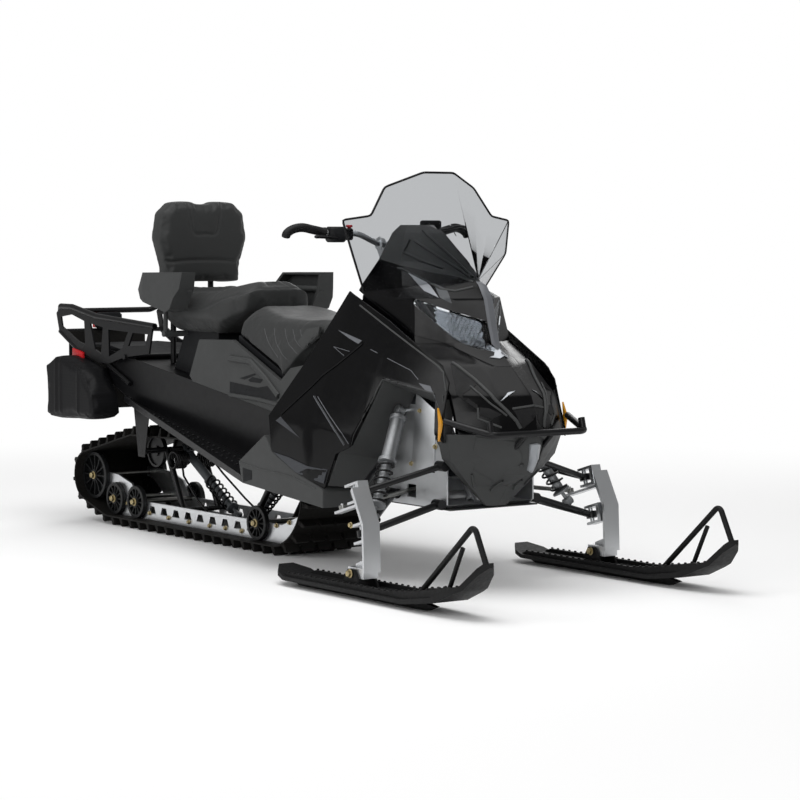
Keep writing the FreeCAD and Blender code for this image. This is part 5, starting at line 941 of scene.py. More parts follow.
def lug_model():
    """One paddle bar across the belt: X along the belt, Y across, Z out."""
    parts = []
    for y, width in block_rows:
        rings = []
        for share, thick, taper in block_steps:
            half_x, half_y, z = thick / 2, width / 2 - taper, block_high * share
            rings.append([mm(sx * half_x, y + sy * half_y, z) for sx, sy in square])
        parts.append(loft("block", rings))
    rings = []
    for z, grow in ((0, 4), (web_high * 0.6, 1), (web_high, -3)):
        rings.append([mm(sx * (web_half_thick + grow), sy * web_half_long, z) for sx, sy in square])
    parts.append(loft("web", rings))
    return join("lug", parts)


belt_steps = 216
belt_rings = []
for step in range(belt_steps):
    outside, out = spot_on(outer, loop_long * step / belt_steps)
    inside = outside - out * belt_thick
    belt_rings.append([mm(outside.x, -belt_half, outside.y), mm(outside.x, belt_half, outside.y),
                       mm(inside.x, belt_half, inside.y), mm(inside.x, -belt_half, inside.y)])
belt = loft("belt", belt_rings, closed=True)
lug_sunk = 0.6
places = []
for number in range(lug_count):
    spot, out = spot_on(outer, (number + 0.5) * loop_long / lug_count)
    spot = (spot - out * lug_sunk) / 1000
    places.append(Matrix(((out.y, 0, out.x, spot.x), (0, 1, 0, 0), (-out.x, 0, out.y, spot.y), (0, 0, 0, 1))))
lugs = spread("lugs", lug_model(), places)
finish(join("track_belt", [belt, lugs]), track_rubber, "chassis", smooth=25,
       instead_of=("track",))

# %% [markdown]
# ## Wheels of the rear skid
# Each wheel is moulded in glass-filled nylon: a rim, a hub, and twelve thin spokes
# that are deeper than they are wide. A yellow zinc bolt closes each hub. Each size
# of wheel is modelled with its axle along Z and copied to both sides of its axle.

# %% Spoked wheels
spoke_count = 12


def wheel_model(radius):
    """A spoked wheel, 20 mm wide, with its middle at the origin."""
    shoulder = radius - 1.5
    rim = turned("rim", [(radius - 14, -10), (shoulder, -10), (radius, -8.5), (radius, 8.5),
                         (shoulder, 10), (radius - 14, 10), (radius - 12, 0), (radius - 14, -10)], 48)
    hub = turned("hub", [(10, -12), (24, -12), (25, -9), (22, -4), (22, 4), (25, 9), (24, 12), (10, 12)], 24)
    parts = [rim, hub]
    # Distance from the axle, half width and half depth of a spoke at three places.
    spoke_steps = ((20, 3.4, 9), ((radius - 4) / 2, 2, 6.5), (radius - 12, 3, 8.5))
    for number in range(spoke_count):
        turn = Matrix.Rotation(2 * math.pi * number / spoke_count, 4, "Z")
        rings = [[turn @ mm(x, sy * wide, sz * deep) for sy, sz in square] for x, wide, deep in spoke_steps]
        parts.append(loft("spoke", rings))
    return join("wheel", parts)


wheel_y, axle_half, axle_radius = 143, 156, 10
# X, Z and wheel radius of each axle.
axle_sets = [(-1374, 110, 68.5), (-1200, 110, 68.5), (-268, 110, 68.5), (-1545, 196, 101)]
across = Matrix.Rotation(math.pi / 2, 4, "X")
wheels, caps, axles = [], [], []
for x, z, radius in axle_sets:
    model = wheel_model(radius)
    for side in (-1, 1):
        wheels.append(copy_to(model, Matrix.Translation(mm(x, side * wheel_y, z)) @ across))
        caps.append(((x, side * axle_half, z), (0, side, 0)))
    bpy.data.objects.remove(model)
    axles.append(pipe("axle", dots([(x, -axle_half, z), (x, 0, z), (x, axle_half, z)]), axle_radius, 16))
finish(join("rail_wheel_set", wheels), wheel_nylon, "chassis", smooth=35,
       instead_of=("rail_wheels",))
finish(join("wheel_axles", axles), axle_steel, "chassis", smooth=40)
bolts("wheel_hub_bolts", caps, 22)

# %% [markdown]
# ## Shock absorbers
# A front shock is a grey damper tube with a black coil spring round its lower half,
# a seat at each end of the spring and a bushed eye at top and foot. It is modelled
# upright from its foot and then leaned between its two eyes. The coil is a round
# wire on a helix.

# %% Shocks with coil springs
def coil(name, radius, wire, low_at, high_at, turns, sides=8, steps=14):
    """A spring wire round Z between two heights, in millimetres."""
    count = int(turns * steps)
    line = []
    for k in range(count + 1):
        a = 2 * math.pi * k / steps
        line.append(mm(radius * math.cos(a), radius * math.sin(a), low_at + (high_at - low_at) * k / count))
    return pipe(name, line, wire / 2, sides)


def shock_body(length, body_r, rod_r, eye_r, eye_w):
    """Upper tube, inner damper, collars and eyes of a shock of this eye-to-eye length."""
    profiles = (
        [(rod_r, 0), (rod_r, length * 0.2)],
        [(body_r * 0.68, length * 0.14), (body_r * 0.68, length * 0.53)],
        [(body_r, length * 0.52), (body_r, length * 0.92), (body_r * 0.8, length * 0.95), (rod_r, length)],
        [(body_r * 1.05, length * 0.495), (body_r * 1.3, length * 0.5), (body_r * 1.3, length * 0.53),
         (body_r * 1.05, length * 0.54)],
        [(body_r * 1.02, length * 0.9), (body_r * 1.18, length * 0.905), (body_r * 1.18, length * 0.935),
         (body_r * 0.9, length * 0.95)],
        [(body_r * 0.7, length * 0.09), (body_r * 1.36, length * 0.1), (body_r * 1.36, length * 0.115),
         (body_r * 0.8, length * 0.13)],
    )
    parts = [turned("shock_part", profile, 24) for profile in profiles]
    for height in (0, length):
        eye = turned("eye", [(eye_r * 0.9, -eye_w / 2), (eye_r, -eye_w / 2 + 1), (eye_r, eye_w / 2 - 1),
                             (eye_r * 0.9, eye_w / 2)], 24)
        eye.matrix_world = Matrix.Translation(mm(0, 0, height)) @ Matrix.Rotation(math.pi / 2, 4, "Y")
        parts.append(eye)
    return join("shock", parts)


def shock_pair(name, top, foot, body_r, rod_r, eye_r, eye_w, wire, turns, node):
    """A pair of shocks between eyes given for the right side."""
    top, foot = mm(*top), mm(*foot)
    length = (top - foot).length * 1000
    stand = frame_at(foot, top - foot, up=(1, 0, 0))
    body = shock_body(length, body_r, rod_r, eye_r, eye_w)
    body.matrix_world = stand
    spring = coil("spring", body_r + wire * 0.5, wire, length * 0.12, length * 0.49, turns)
    spring.matrix_world = stand
    finish(both_sides(join(name + "_bodies", [body])), damper_grey, "chassis", smooth=40,
           instead_of=(node,))
    finish(both_sides(join(name + "_springs", [spring])), powder_black, "chassis", smooth=60)


shock_pair("front_shock", (800, -236, 620), (925, -440, 266), 25, 7, 17, 30, 8, 5.5, "front_shocks")

# %% [markdown]
# ## Trim laid on the body
# Stripes, creases, vents and accents follow the body's faces. A line drawn near a
# solid is moved onto its skin and lofted into a strip with rounded shoulders. A
# patch is a drawn outline that is filled, cut finer, wrapped onto the skin and given
# a thickness, as a vinyl film or a clipped-on moulding is. All points are given for
# the right side, and most pieces are mirrored.

# %% Strips and patches on a skin
skins = {}


def skin(node):
    """A search tree over the faces of a CAD solid."""
    if node not in skins:
        solid = nodes[node]
        points = [solid.matrix_world @ v.co for v in solid.data.vertices]
        skins[node] = BVHTree.FromPolygons(points, [tuple(f.vertices) for f in solid.data.polygons])
    return skins[node]


def strip(node, points, width_mm, high_mm, step_mm=14):
    """A strip along a line on a solid's skin."""
    corners = dots(points)
    line = []
    for a, b in zip(corners, corners[1:]):
        count = max(1, round((b - a).length * 1000 / step_mm))
        line += [a.lerp(b, k / count) for k in range(count)]
    spots = [skin(node).find_nearest(p)[:2] for p in line + [corners[-1]]]
    rings = []
    for index, (spot, out) in enumerate(spots):
        along = spots[min(index + 1, len(spots) - 1)][0] - spots[max(index - 1, 0)][0]
        side = out.cross(along).normalized() * width_mm / 2000
        rings.append([spot + side * s + out * h * high_mm / 1000
                      for s, h in ((-1, -0.4), (-1, 0.5), (-0.6, 1), (0.6, 1), (1, 0.5), (1, -0.4))])
    return loft("strip", rings)


def patch(node, points, high_mm=0.8, cuts=4):
    """A thin plate of a drawn outline, wrapped onto a solid's skin."""
    piece = ring("patch", dots(points))
    bpy.ops.mesh.quads_convert_to_tris()
    bpy.ops.mesh.subdivide(number_cuts=cuts)
    shape = bmesh.from_edit_mesh(piece.data)
    for corner in shape.verts:
        spot, out, _, _ = skin(node).find_nearest(corner.co)
        corner.co = spot + out * high_mm / 2000
    bmesh.update_edit_mesh(piece.data)
    bpy.ops.object.mode_set(mode="OBJECT")
    apply_modifier(piece, "SOLIDIFY", thickness=high_mm * 1.5 / 1000, offset=0)
    return piece


def facing(node, outline, out_mm, deep_mm=6):
    """A plate on a part that looks forwards, from its outline across and up."""
    middle = [sum(p[k] for p in outline) / len(outline) for k in (0, 1)]
    rings = []
    for share, step in ((1, -deep_mm), (1, out_mm * 0.7), (0.93, out_mm), (0.6, out_mm), (0.25, out_mm)):
        line = []
        for y, z in outline:
            y, z = middle[0] + (y - middle[0]) * share, middle[1] + (z - middle[1]) * share
            hit = skin(node).ray_cast(mm(1500, y, z), Vector((-1, 0, 0)))[0]
            line.append(mm((hit.x * 1000 if hit else 1000) + step, y, z))
        rings.append(line)
    return loft("plate", rings)


def laid(name, parts, material, mirrored=True, smooth=30):
    """Joins laid pieces of one finish, with their mirror images."""
    piece = join(name, parts)
    return finish(both_sides(piece) if mirrored else piece, material, "chassis", smooth=smooth)


print("trim helpers ready")

# %% Film and trim finishes
# Printed film: flat mid grey under a satin overlay, and the same in dark grey.
grey_film = grained("grey_printed_film", "#5a5c60", "#626468", 0.42, 0.04, 6, 0.02, IOR=1.5,
                    Specular_IOR_Level=0.3)
dark_film = grained("dark_grey_film", "#34363a", "#3a3c40", 0.42, 0.04, 6, 0.02, IOR=1.5,
                    Specular_IOR_Level=0.25)
# Silver paint on plastic holds metal flakes, so it is part metallic.
silver_plastic = grained("silver_painted_plastic", "#8d9094", "#989b9f", 0.32, 0.04, 6, 0.03, IOR=1.5,
                         Metallic=0.6)
# Dark silver trim is moulded in its colour and has no flakes.
grey_trim = grained("dark_silver_plastic", "#3c3f42", "#44474a", 0.38, 0.04, 6, 0.03, IOR=1.5,
                    Specular_IOR_Level=0.35)
# Intake mesh is drawn as deep cells 5 mm wide, so that they show.
screen_black = grained("black_mesh_screen", "#020203", "#08080a", 0.6, 0.05, 5.0, 1.2, voronoi=True, IOR=1.5,
                       Specular_IOR_Level=0.3)
print("trim:", [m.name for m in (grey_film, dark_film, silver_plastic, grey_trim, screen_black)])

# %% [markdown]
# ## Side panels
# The gloss panels carry thin printed lines, small grey shapes and one raised body
# line that runs from the top to the rear corner. A raised charcoal strip follows their
# rims; its lighter colour is a painted highlight on the rims' rounded edges. Lines are
# strips and shapes are patches on the panel's skin, so they bend with it as film does.
# Behind each panel's cut-out an inner wall closes the bay towards the frame: its
# outlines are filled, joined at their shared edges and given a thickness. An amber
# reflector stands at the front edge.

# %% Panel lines and shapes
panel = "side_panel_right"
# The rim strips' charcoal is a painted highlight along the panels' rounded rims.
laid("panel_rims_painted_highlight", [
    strip(panel, [(560, -240, 987), (748, -248, 911), (888, -242, 849), (1023, -235, 789),
                  (1055, -235, 769), (1087, -248, 703)], 6, 2.5),
    strip(panel, [(1040, -263, 694), (930, -290, 715), (806, -318, 733), (768, -352, 620),
                  (724, -397, 494)], 6, 2.5),
], charcoal)
laid("panel_body_line", [
    strip(panel, [(639, -285, 856), (591, -305, 817), (480, -348, 736), (444, -367, 699),
                  (320, -423, 587)], 15, 5),
], gloss_black)
laid("panel_lines", [
    strip(panel, [(473, -385, 659), (566, -402, 601), (658, -412, 537), (706, -402, 486)], 2.6, 0.8),
    strip(panel, [(482, -385, 659), (575, -402, 600), (664, -412, 538), (710, -402, 490)], 1.4, 0.8),
    strip(panel, [(500, -385, 658), (597, -401, 596), (686, -410, 540), (722, -403, 503)], 2.6, 0.8),
    strip(panel, [(693, -288, 834), (818, -281, 798), (910, -269, 769), (954, -269, 739)], 2.4, 0.8),
    strip(panel, [(487, -306, 836), (589, -303, 822)], 2, 0.8),
    strip(panel, [(487, -306, 836), (567, -312, 804)], 2, 0.8),
    patch(panel, [(483, -283, 896), (632, -282, 863), (618, -289, 851), (555, -288, 870)]),
    patch(panel, [(961, -272, 727), (1014, -261, 719), (1064, -266, 656), (1078, -266, 639),
                  (1040, -268, 690), (1000, -272, 703)]),
], grey_film)
laid("panel_shapes", [
    patch(panel, [(294, -430, 560), (326, -428, 576), (449, -430, 508)]),
    patch(panel, [(285, -430, 442), (379, -430, 432), (506, -430, 408), (610, -414, 402),
                  (592, -419, 352), (430, -430, 380)], 3, 9),
], dark_film)

# %% Inner walls and side reflectors
outer_edge = [(1034, -256, 690), (808, -312, 732), (728, -388, 498), (664, -402, 470), (604, -410, 345)]
inner_edge = [(975, -198, 655), (838, -196, 680), (748, -196, 560), (700, -198, 430), (650, -245, 330)]
wall_corners = [[outer_edge[k], outer_edge[k + 1], inner_edge[k + 1], inner_edge[k]]
                for k in range(len(outer_edge) - 1)]
wall_corners += [[(1080, -256, 690), (1100, -266, 560), (1060, -200, 560), (1050, -190, 690)],
                 [(1100, -266, 560), (1092, -262, 525), (1058, -200, 520), (1060, -200, 560)]]
walls = []
for corners in wall_corners:
    walls.append(ring("wall", dots(corners)))
    bpy.ops.object.mode_set(mode="OBJECT")
wall = join("inner_walls", walls)
tidy_mesh(wall, 0.0001)
apply_modifier(wall, "SOLIDIFY", thickness=0.003, offset=0)
laid("inner_walls", [wall], charcoal, smooth=15)
amber_outline = ((1084, 648), (1109, 598), (1095, 532), (1088, 532), (1090, 592))
amber = loft("side_reflectors", [[mm(x, y, z) for x, z in amber_outline] for y in (-276, -284)])
finish(both_sides(amber), amber_lens, "chassis", round_mm=1)

# %% [markdown]
# ## Nose and cowl
# A grey strip runs down the middle of the gloss mask and ends in a silver chin. The
# headlights are clear shells over reflectors made of many small facets, which are
# one grid whose corners stand behind the lens by two depths in turn; the reflectors'
# dark grey is painted shade. Side intakes and the front grille are black mesh, framed
# by ribs and silver accents, and the ribs' charcoal is partly a painted highlight on
# their edges.

# %% Headlight reflectors
def lamp_low_edge(y):
    """Lower edge of the lens at a distance from the middle plane."""
    return float(np.interp(y, (8, 60, 100, 160, 194, 200), (832, 846, 880, 951, 990, 1021)))


def lamp_high_edge(y):
    """Upper edge of the lens, a straight line that rises outwards."""
    return 940 + (y - 12) * 81 / 188


columns, rows = 22, 7
inner_y, outer_y, lens_gap = 16, 130, 6
behind_lens, facet_deep = 20, 15
select_nothing()
bpy.ops.mesh.primitive_grid_add(x_subdivisions=columns, y_subdivisions=rows, size=1)
bowl = bpy.context.object
for index, corner in enumerate(bowl.data.vertices):
    column, row = index % (columns + 1), index // (columns + 1)
    y = inner_y + (outer_y - inner_y) * column / columns
    low, high = lamp_low_edge(y) + lens_gap, lamp_high_edge(y) - lens_gap
    z = low + (high - low) * row / rows
    hit = skin("headlights").ray_cast(mm(1400, -y, z), Vector((-1, 0, 0)))[0]
    front = hit.x * 1000 if hit else 900
    corner.co = mm(front - behind_lens - facet_deep * ((column + row) % 2), -y, z)
bowl.name = "headlight_reflectors"
apply_modifier(bowl, "SOLIDIFY", thickness=0.002, offset=-1)
# The reflectors' dark grey is painted shade inside the lamps.
finish(both_sides(bowl), lamp_mirror_painted_shade, "chassis", smooth=10, outward=False)

# %% Nose strip and chin, patches beside the lamps
# Each step of the strip: x and z of its face, half its width, and how far its sides fall back.
spine_steps = ((951, 1079, 12, 4), (980, 1064, 18, 10), (1012, 1018, 20, 10), (1034, 930, 19, 9),
               (1054, 862, 18, 8), (1068, 846, 12, 5))
proud = 3
spine = []
for x, z, wide, deep in spine_steps:
    section = ((-wide, deep), (-wide * 0.6, 0), (wide * 0.6, 0), (wide, deep), (0, deep + 8))
    spine.append([mm(x + proud - back, y, z) for y, back in section])
laid("nose_strip", [loft("spine", spine)], grey_film, mirrored=False)
mask = "nose_mask"
laid("nose_chin", [
    facing(mask, [(0, 862), (-26, 838), (-42, 815), (-18, 812), (0, 822), (18, 812), (42, 815),
                  (26, 838)], 6, 14),
], silver_plastic, mirrored=False)
laid("lamp_patches", [
    patch(mask, [(706, -132, 1106), (781, -116, 1082), (824, -117, 1058), (881, -126, 1020),
                 (816, -142, 1043)], 2),
], pale_lens)
laid("lamp_corners", [
    patch(mask, [(824, -105, 1070), (879, -88, 1049), (916, -93, 1001), (884, -122, 1020)], 1.6),
], grey_trim)

# %% Intakes, grille and ribs
fairing = "nose_fairing"
laid("intake_mesh", [
    patch(fairing, [(1017, -175, 794), (1109, -133, 736), (1160, -165, 640), (1100, -212, 690)], 1.2, 6),
    patch(fairing, [(1163, -159, 649), (1184, -134, 646), (1216, -103, 625), (1200, -132, 610),
                    (1170, -165, 621)], 1.2),
], screen_black)
laid("front_grille", [
    facing(fairing, [(-66, 640), (0, 652), (66, 640), (45, 577), (-45, 577)], 2),
], screen_black, mirrored=False)
# The ribs are real, and their charcoal is partly a painted highlight on their edges.
laid("nose_ribs_painted_highlight", [
    strip(fairing, [(1017, -168, 800), (1104, -133, 741), (1190, -107, 671), (1245, -61, 603),
                    (1256, -51, 577)], 12, 6),
    strip(fairing, [(1110, -160, 722), (1134, -151, 702), (1183, -124, 660), (1226, -88, 621)], 7, 4),
    strip(fairing, [(1230, -68, 645), (1263, 0, 655)], 8, 5),
    strip(fairing, [(1165, -168, 650), (1172, -172, 612), (1224, -110, 581)], 7, 4),
], charcoal)
laid("nose_accents", [
    facing(fairing, [(-95, 671), (-69, 690), (-37, 706), (-63, 700)], 4),
], silver_plastic)
laid("cowl_ridges", [
    strip("cowl", [(658, -69, 1220), (790, -43, 1156), (917, -14, 1094)], 9, 7),
    strip("cowl", [(663, -36, 1257), (799, -24, 1176), (926, -8, 1094)], 9, 7),
    strip("cowl", [(636, -78, 1225), (637, -103, 1179), (750, -75, 1141), (920, -14, 1085)], 9, 6),
], charcoal)
laid("mask_wings", [
    strip(mask, [(650, -138, 1124), (706, -129, 1108), (862, -102, 1052), (903, -71, 1045),
                 (945, -20, 1060)], 8, 4),
    strip(mask, [(660, -120, 1138), (827, -64, 1107), (935, -14, 1078)], 8, 4),
], charcoal)

# %% Belly pan plates
belly = "belly_pan"
laid("belly_plates", [
    facing(belly, [(-181, 548), (-70, 532), (-42, 485), (-38, 459), (-57, 378), (-150, 425),
                   (-180, 508)], 7),
], charcoal)
laid("belly_ribs", [
    strip(belly, [(1243, -30, 453), (1120, -44, 375), (1050, -60, 312)], 9, 7),
    strip(belly, [(1110, -150, 412), (1062, -100, 345)], 9, 6),
], charcoal)
laid("belly_casting", [
    facing(belly, [(-22, 522), (0, 526), (22, 522), (19, 470), (12, 430), (0, 420), (-12, 430),
                   (-19, 470)], 9),
], silver_plastic, mirrored=False)

# %% [markdown]
# ## Windshield edge
# The edge of the sheet is framed by a black push-on profile, about 8 mm across. A
# bevel on the sheet would keep the sheet's clear finish, and this is a rubber part
# of its own. So it is a tube along the sheet's corners, which are first cut to
# small radii.

# %% Windshield trim
foot_x, foot_z, top_x, top_z, half_wide = 951, 1085, 712, 1467, 377
corner_cut, profile_radius, set_back = 0.012, 4.2, 0.003
# Shares of the sheet's reach backwards, half width and rise, from its top to its lower corner.
rim_shares = ((1.00, 0.18, 1.00), (1.22, 0.535, 0.86), (1.155, 0.725, 0.59), (1.275, 1.0, 0.55),
              (1.19, 0.92, 0.23), (1.34, 0.72, -0.12))
side_rim = [(foot_x - (foot_x - top_x) * u, half_wide * v, foot_z + (top_z - foot_z) * w)
            for u, v, w in rim_shares]
rim = [mm(x, -y, z) for x, y, z in reversed(side_rim)] + dots(side_rim)
edge = []
for index, corner in enumerate(rim):
    if index in (0, len(rim) - 1):
        edge.append(corner)
        continue
    before, after = rim[index - 1], rim[index + 1]
    into = corner + (before - corner).normalized() * corner_cut
    out_of = corner + (after - corner).normalized() * corner_cut
    edge += [into, corner.lerp((into + out_of) / 2, 0.45), out_of]
edge = [p + Vector((-set_back, 0, 0)) for p in edge]
finish(pipe("windshield_trim", edge, profile_radius, 8), grip_rubber, "chassis", smooth=60)

# %% [markdown]
# ## Handlebar controls
# The grips are rubber hooks that bend down at their ends. Each control block is a
# rounded housing clamped on the bar, with a thumb lever on the right, a brake lever
# and a fluid box on the left, and a red stop button on top. Bar, grips and levers
# are tubes along smooth lines, with a list of radii where they swell or taper. The
# blocks are lofts with cut corners, because a plain box would look sawn. All of it
# rides on the steering.

# %% Bar and grips
bar_half = [(401, 0, 1206), (401, -36, 1206), (397, -72, 1219), (389, -128, 1243), (376, -180, 1247),
            (364, -240, 1248), (354, -306, 1259), (348, -345, 1265)]
bar_line = [mm(x, -y, z) for x, y, z in reversed(bar_half)] + dots(bar_half[1:])
bar_radius = 11
finish(pipe("bent_bar", smooth_line(bar_line, 5), bar_radius, 16), forged, "steering", smooth=60,
       instead_of=("handlebar",))
grip_line = ((363, -258, 1249), (354, -306, 1259), (347, -349, 1267), (342, -386, 1261), (340, -411, 1246),
             (341, -418, 1230))
hooks = []
for side in (1, -1):
    line = smooth_line([mm(x, y * side, z) for x, y, z in grip_line], 6)
    radii = [19, 19, 16.5] + [16.5] * (len(line) - 6) + [16, 15, 11]  # flange, hook and rounded end
    hooks.append(pipe("hook", line, radii, 16))
finish(join("hooked_grips", hooks), grip_rubber, "steering", smooth=60, instead_of=("grips",))

# %% Control blocks
def rounded_block(name, middle, size, turn_z=0.0):
    """A box of half sizes with cut corners, drawn from a circle of eight corners."""
    w, deep, high = size
    base = [(-w, -deep * 0.6), (-w * 0.7, -deep), (w * 0.7, -deep), (w, -deep * 0.6), (w, deep * 0.6),
            (w * 0.7, deep), (-w * 0.7, deep), (-w, deep * 0.6)]
    spin = Matrix.Rotation(turn_z, 4, "Z")
    rings = [[mm(*middle) + spin @ mm(x * grow, y * grow, z) for x, y in base]
             for z, grow in ((-high, 0.8), (-high * 0.7, 1), (high * 0.7, 1), (high, 0.8))]
    return loft(name, rings)


bar_sweep = -0.12  # turn of a block about Z, in radians, with the bar's sweep
blocks = []
for side in (1, -1):
    blocks.append(rounded_block("housing", (370, -216 * side, 1242), (29, 34, 29), bar_sweep * side))
    blocks.append(rounded_block("housing", (378, -168 * side, 1243), (20, 16, 22), bar_sweep * side))
blocks.append(rounded_block("fluid_box", (372, 215, 1280), (25, 38, 15)))
finish(join("control_blocks", blocks), dark_plastic, "steering", round_mm=3,
       instead_of=("bar_controls",))

# %% Levers, stop button and bar clamps
thumb = dots([(392, -226, 1228), (392, -270, 1232), (384, -318, 1234)])
brake = dots([(396, 236, 1256), (408, 280, 1266), (408, 340, 1272), (396, 376, 1262), (390, 408, 1264)])
levers = []
for points, wide in ((thumb, 9), (brake, 8)):
    line = smooth_line(points, 5)
    levers.append(pipe("lever", line, [wide] * (len(line) - 2) + [wide * 1.1, wide * 0.8], 10, flat=0.7))
finish(join("levers", levers), powder_black, "steering", smooth=60)
button = turned("stop_button", [(7, 0), (7, 8), (12, 9), (13, 13), (11, 17), (6, 18)], 20)
button.matrix_world = Matrix.Translation(mm(376, -160, 1260))
finish(button, red_lens, "steering", smooth=40)
clamps = []
for y in (-36, 36):
    clamp = turned("clamp", [(20, -9), (24, -9), (24, 9), (20, 9)], 24)
    clamp.matrix_world = Matrix.Translation(mm(401, y, 1207)) @ Matrix.Rotation(math.pi / 2, 4, "X")
    clamps.append(clamp)
finish(join("bar_clamps", clamps), forged, "steering", smooth=40)

# %% [markdown]
# ## Seat trims and toe holds
# The trims under the driver's seat are mouldings with two raised bands, vents and a
# recess. The seat's front corners are capped, and each toe hold has a crease and a
# small vent near its open end. Bands and creases are strips, and vents and the recess
# are flat dark patches, painted shade that stands for their depth; both follow the
# faces that they lie on.

# %% Trims under the seat and on the toe holds
trims = "seat_trims"
laid("seat_corners", [
    patch("driver_seat", [(134, -217, 836), (172, -204, 885), (255, -199, 896), (255, -219, 800),
                          (205, -221, 795)], 7),
], charcoal)
laid("trim_bands", [
    strip(trims, [(-338, -227, 755), (-188, -227, 749), (-93, -227, 697), (8, -227, 627)], 24, 10),
    strip(trims, [(-338, -227, 612), (-130, -227, 606), (20, -227, 592)], 16, 7),
    strip("toe_holds", [(49, -430, 388), (191, -430, 374), (395, -430, 364), (553, -430, 332)], 5, 2),
], charcoal)
# Vents and the recess are flat dark patches: their darkness is painted shade.
laid("trim_vents_painted_shade", [
    patch(trims, [(-267, -227, 681), (-158, -227, 705), (-150, -227, 700), (-232, -227, 677)]),
    patch(trims, [(-206, -227, 677), (-176, -227, 690), (-102, -227, 684), (-120, -227, 669),
                  (-193, -227, 670)]),
    patch(trims, [(-338, -227, 664), (-137, -227, 650), (-51, -227, 664), (14, -227, 620),
                  (-9, -227, 607), (-338, -227, 619)]),
    patch("toe_holds", [(70, -430, 369), (133, -430, 363), (133, -430, 329), (74, -430, 315)]),
], dark_plastic)

# %% [markdown]
# ## Skis
# Each ski is moulded polyethylene, and its CAD solid carries the keel and the loop.
# Four ribs along the deck and two rows of studs along the edges are added here, at
# heights found from above. One stud is modelled and copied, and the ribs are thin
# tubes half sunk in the deck. Two bolts close the saddle.

# %% Ski studs, ribs and saddle bolts
def ski_top(x, y):
    """Height of a ski's deck at a place, found from above."""
    hit = skin("ski_right").ray_cast(mm(x, y, 200), Vector((0, 0, -1)))[0]
    return hit.z * 1000 if hit else 60


ski_y = 540
stud_rows, rib_rows = (-62, 62), (-36, -18, 18, 36)
for side, body in ((-1, "ski_r"), (1, "ski_l")):
    spots = [mm(x, side * ski_y + off, ski_top(x, -ski_y + off) - 0.5)
             for x in range(640, 1560, 34) for off in stud_rows]
    stud = turned("stud", [(5, 0), (5, 3.5), (3.2, 5)], 8)
    parts = [spread("studs", stud, [Matrix.Translation(spot) for spot in spots])]
    for off in rib_rows:
        line = [mm(x, side * ski_y + off, ski_top(x, -ski_y + off) + 1.5) for x in range(1060, 1500, 40)]
        parts.append(pipe("rib", line, 3.2, 6))
    finish(join("ski_ribs_" + body[-1], parts), ski_plastic, body, smooth=40)
    saddle = [((990, side * ski_y + s * 44, 84), (0, s, 0)) for s in (-1, 1)]
    bolts("ski_saddle_bolt_" + body[-1], saddle, 20, yellow_zinc, body)

# %% [markdown]
# ## Front suspension and bulkhead hardware
# A thin pressed cover lies on each bulkhead plate, and yellow zinc bolts hold the
# plates, the arms and the spindles. The cover is an outline lofted through its
# thickness. The bolts are copies of the one head, and a small function gives each
# pair of places, because both walls have the same pattern.

# %% Bolts at the front
def on_both_walls(y, places):
    """Bolt places, given as x and z, on two walls at a distance from the middle."""
    return [((x, side * y, z), (0, side, 0)) for side in (-1, 1) for x, z in places]


cover_outline = ((847, 683), (965, 626), (955, 424), (818, 389))
plate_cover = loft("bulkhead_covers", [[mm(x, y, z) for x, z in cover_outline] for y in (-199, -196)])
finish(both_sides(plate_cover), pressed, "chassis", round_mm=0.5)
bolts("bulkhead_bolts", on_both_walls(197, ((870, 622), (960, 500), (820, 430), (700, 320), (1010, 300))), 13)
bolts("arm_bolts", on_both_walls(201, ((1020, 437), (690, 445), (1002, 300), (735, 318))), 15)
for side, body in ((-1, "spindle_r"), (1, "spindle_l")):
    bolts("spindle_bolts_" + body[-1], [((985, side * 577, 250), (0, side, 0))], 14, yellow_zinc, body)

# %% [markdown]
# ## Running boards
# The boards are pressed sheet, pierced in rows for snow to fall through. Each hole
# has a raised rim that grips the boot, and the rim is what shows. So one rim is
# modelled and copied in rows that narrow with the board, and the sheet stays whole.

# %% Board perforations
first_x, hole_pitch, board_end_x = -60, 40, -1100
board_rear_x, board_long = -1130, 1180
tunnel_y, rear_edge_y, front_edge_y = 232, 252, 418
rim_places = []
for side in (-1, 1):
    for row in range(3):
        for number in range(26):
            x = first_x - number * hole_pitch - (row % 2) * hole_pitch / 2
            share = (x - board_rear_x) / board_long
            edge_y = rear_edge_y + (front_edge_y - rear_edge_y) * share
            y = tunnel_y + (edge_y - tunnel_y) * (row + 0.6) / 3.1
            if edge_y - y < 10 or x < board_end_x:
                continue
            spot, out, _, _ = skin("running_boards").ray_cast(mm(x, side * y, 700), Vector((0, 0, -1)))
            if spot:
                rim_places.append(frame_at(spot, out, up=(0, 1, 0)))
hole_rim = turned("rim", [(5, -1), (9.5, -1), (9, 2.2), (7, 3), (6, 1)], 10)
finish(spread("board_rims", hole_rim, rim_places), powder_black, "chassis", smooth=50)

# %% [markdown]
# ## Rear skid springs
# Two shocks stand between the arms and the rails inside the track, and a pair of
# torsion springs sits on the rear pivot. Their coils are wires on a helix. Bolt
# heads run along the outer faces of the rails.

# %% Skid shocks and torsion springs
rail_high, eye_share = 74, 0.75
lower_eye_z = floor_gap + rail_high * eye_share
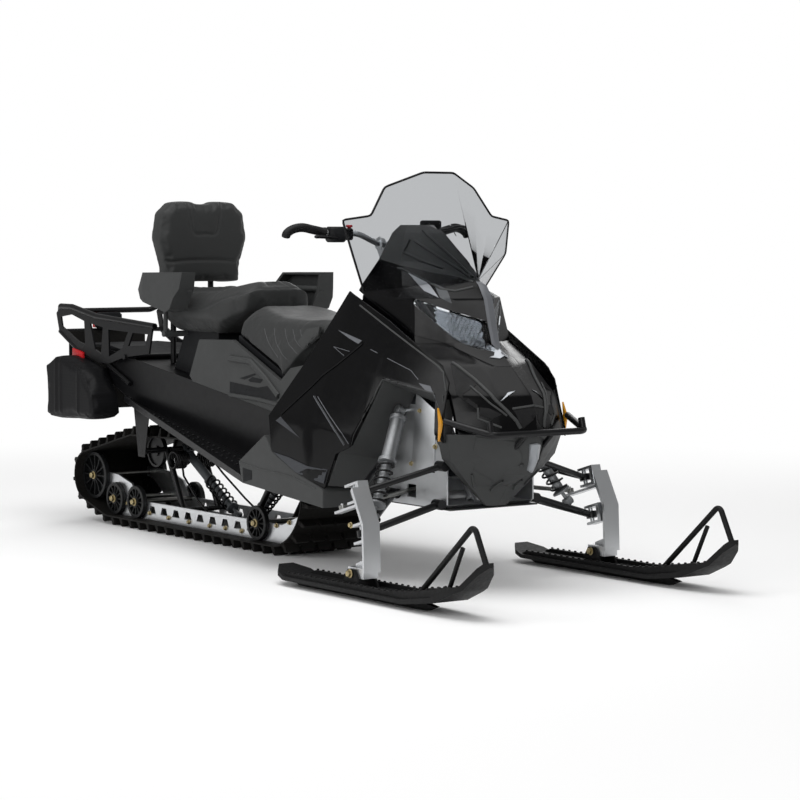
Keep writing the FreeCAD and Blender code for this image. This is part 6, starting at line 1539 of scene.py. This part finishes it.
# Upper eye's x and z, and lower eye's x, of the rear and the front shock.
skid_shock_eyes = ((-1050, 340, -632), (-150, 378, -502))
skid_bodies, skid_coils = [], []
for upper_x, upper_z, lower_x in skid_shock_eyes:
    top, foot = mm(upper_x, 0, upper_z), mm(lower_x, 0, lower_eye_z)
    length = (top - foot).length * 1000
    stand = frame_at(foot, top - foot, up=(0, 1, 0))
    body = shock_body(length, 19, 7, 14, 24)
    body.matrix_world = stand
    skid_bodies.append(body)
    spring = coil("spring", 27, 8, length * 0.13, length * 0.5, 6)
    spring.matrix_world = stand
    skid_coils.append(spring)
torsion_wire, torsion_radius, torsion_wide = 9, 34, 62
for side in (-1, 1):
    wound = coil("torsion", torsion_radius, torsion_wire, 0, torsion_wide, 6)
    place = Matrix.Translation(mm(-985, side * 100, 300))
    wound.matrix_world = place @ Matrix.Rotation(side * math.pi / 2, 4, "X")
    leg_line = ((-985, 60, 334), (-900, 96, 240), (-760, 112, 150), (-690, 114, 116))
    leg = pipe("leg", [mm(x, side * y, z) for x, y, z in leg_line], torsion_wire / 2, 8)
    skid_coils += [wound, leg]
finish(join("skid_shock_bodies", skid_bodies), grey_paint, "chassis", smooth=40,
       instead_of=("skid_shocks",))
finish(join("skid_springs", skid_coils), powder_black, "chassis", smooth=60)
rail_bolts = ((-1290, 96), (-1110, 70), (-960, 64), (-800, 62), (-640, 62), (-520, 64), (-400, 64),
              (-150, 110), (-60, 130))
bolts("rail_bolts", on_both_walls(133, rail_bolts), 13)

# %% [markdown]
# ## Rear reflectors and lamp housing
# A red reflector sits low on each side of the rack, and the tail lamp has a dark
# plastic housing in front of it. The reflector is an outline lofted through its
# depth, which keeps its slanted ends, and the housing is a block with cut corners.

# %% Rear side reflectors and lamp housing
red_outline = ((-1528, 748), (-1447, 733), (-1441, 699), (-1531, 713))
rear_red = loft("rear_side_reflectors", [[mm(x, y, z) for x, z in red_outline] for y in (-254, -266)])
finish(both_sides(rear_red), red_lens, "chassis", round_mm=1)
housing = rounded_block("tail_lamp_housing", (-1685, 0, 855), (8, 66, 36))
finish(housing, dark_plastic, "chassis", round_mm=2)
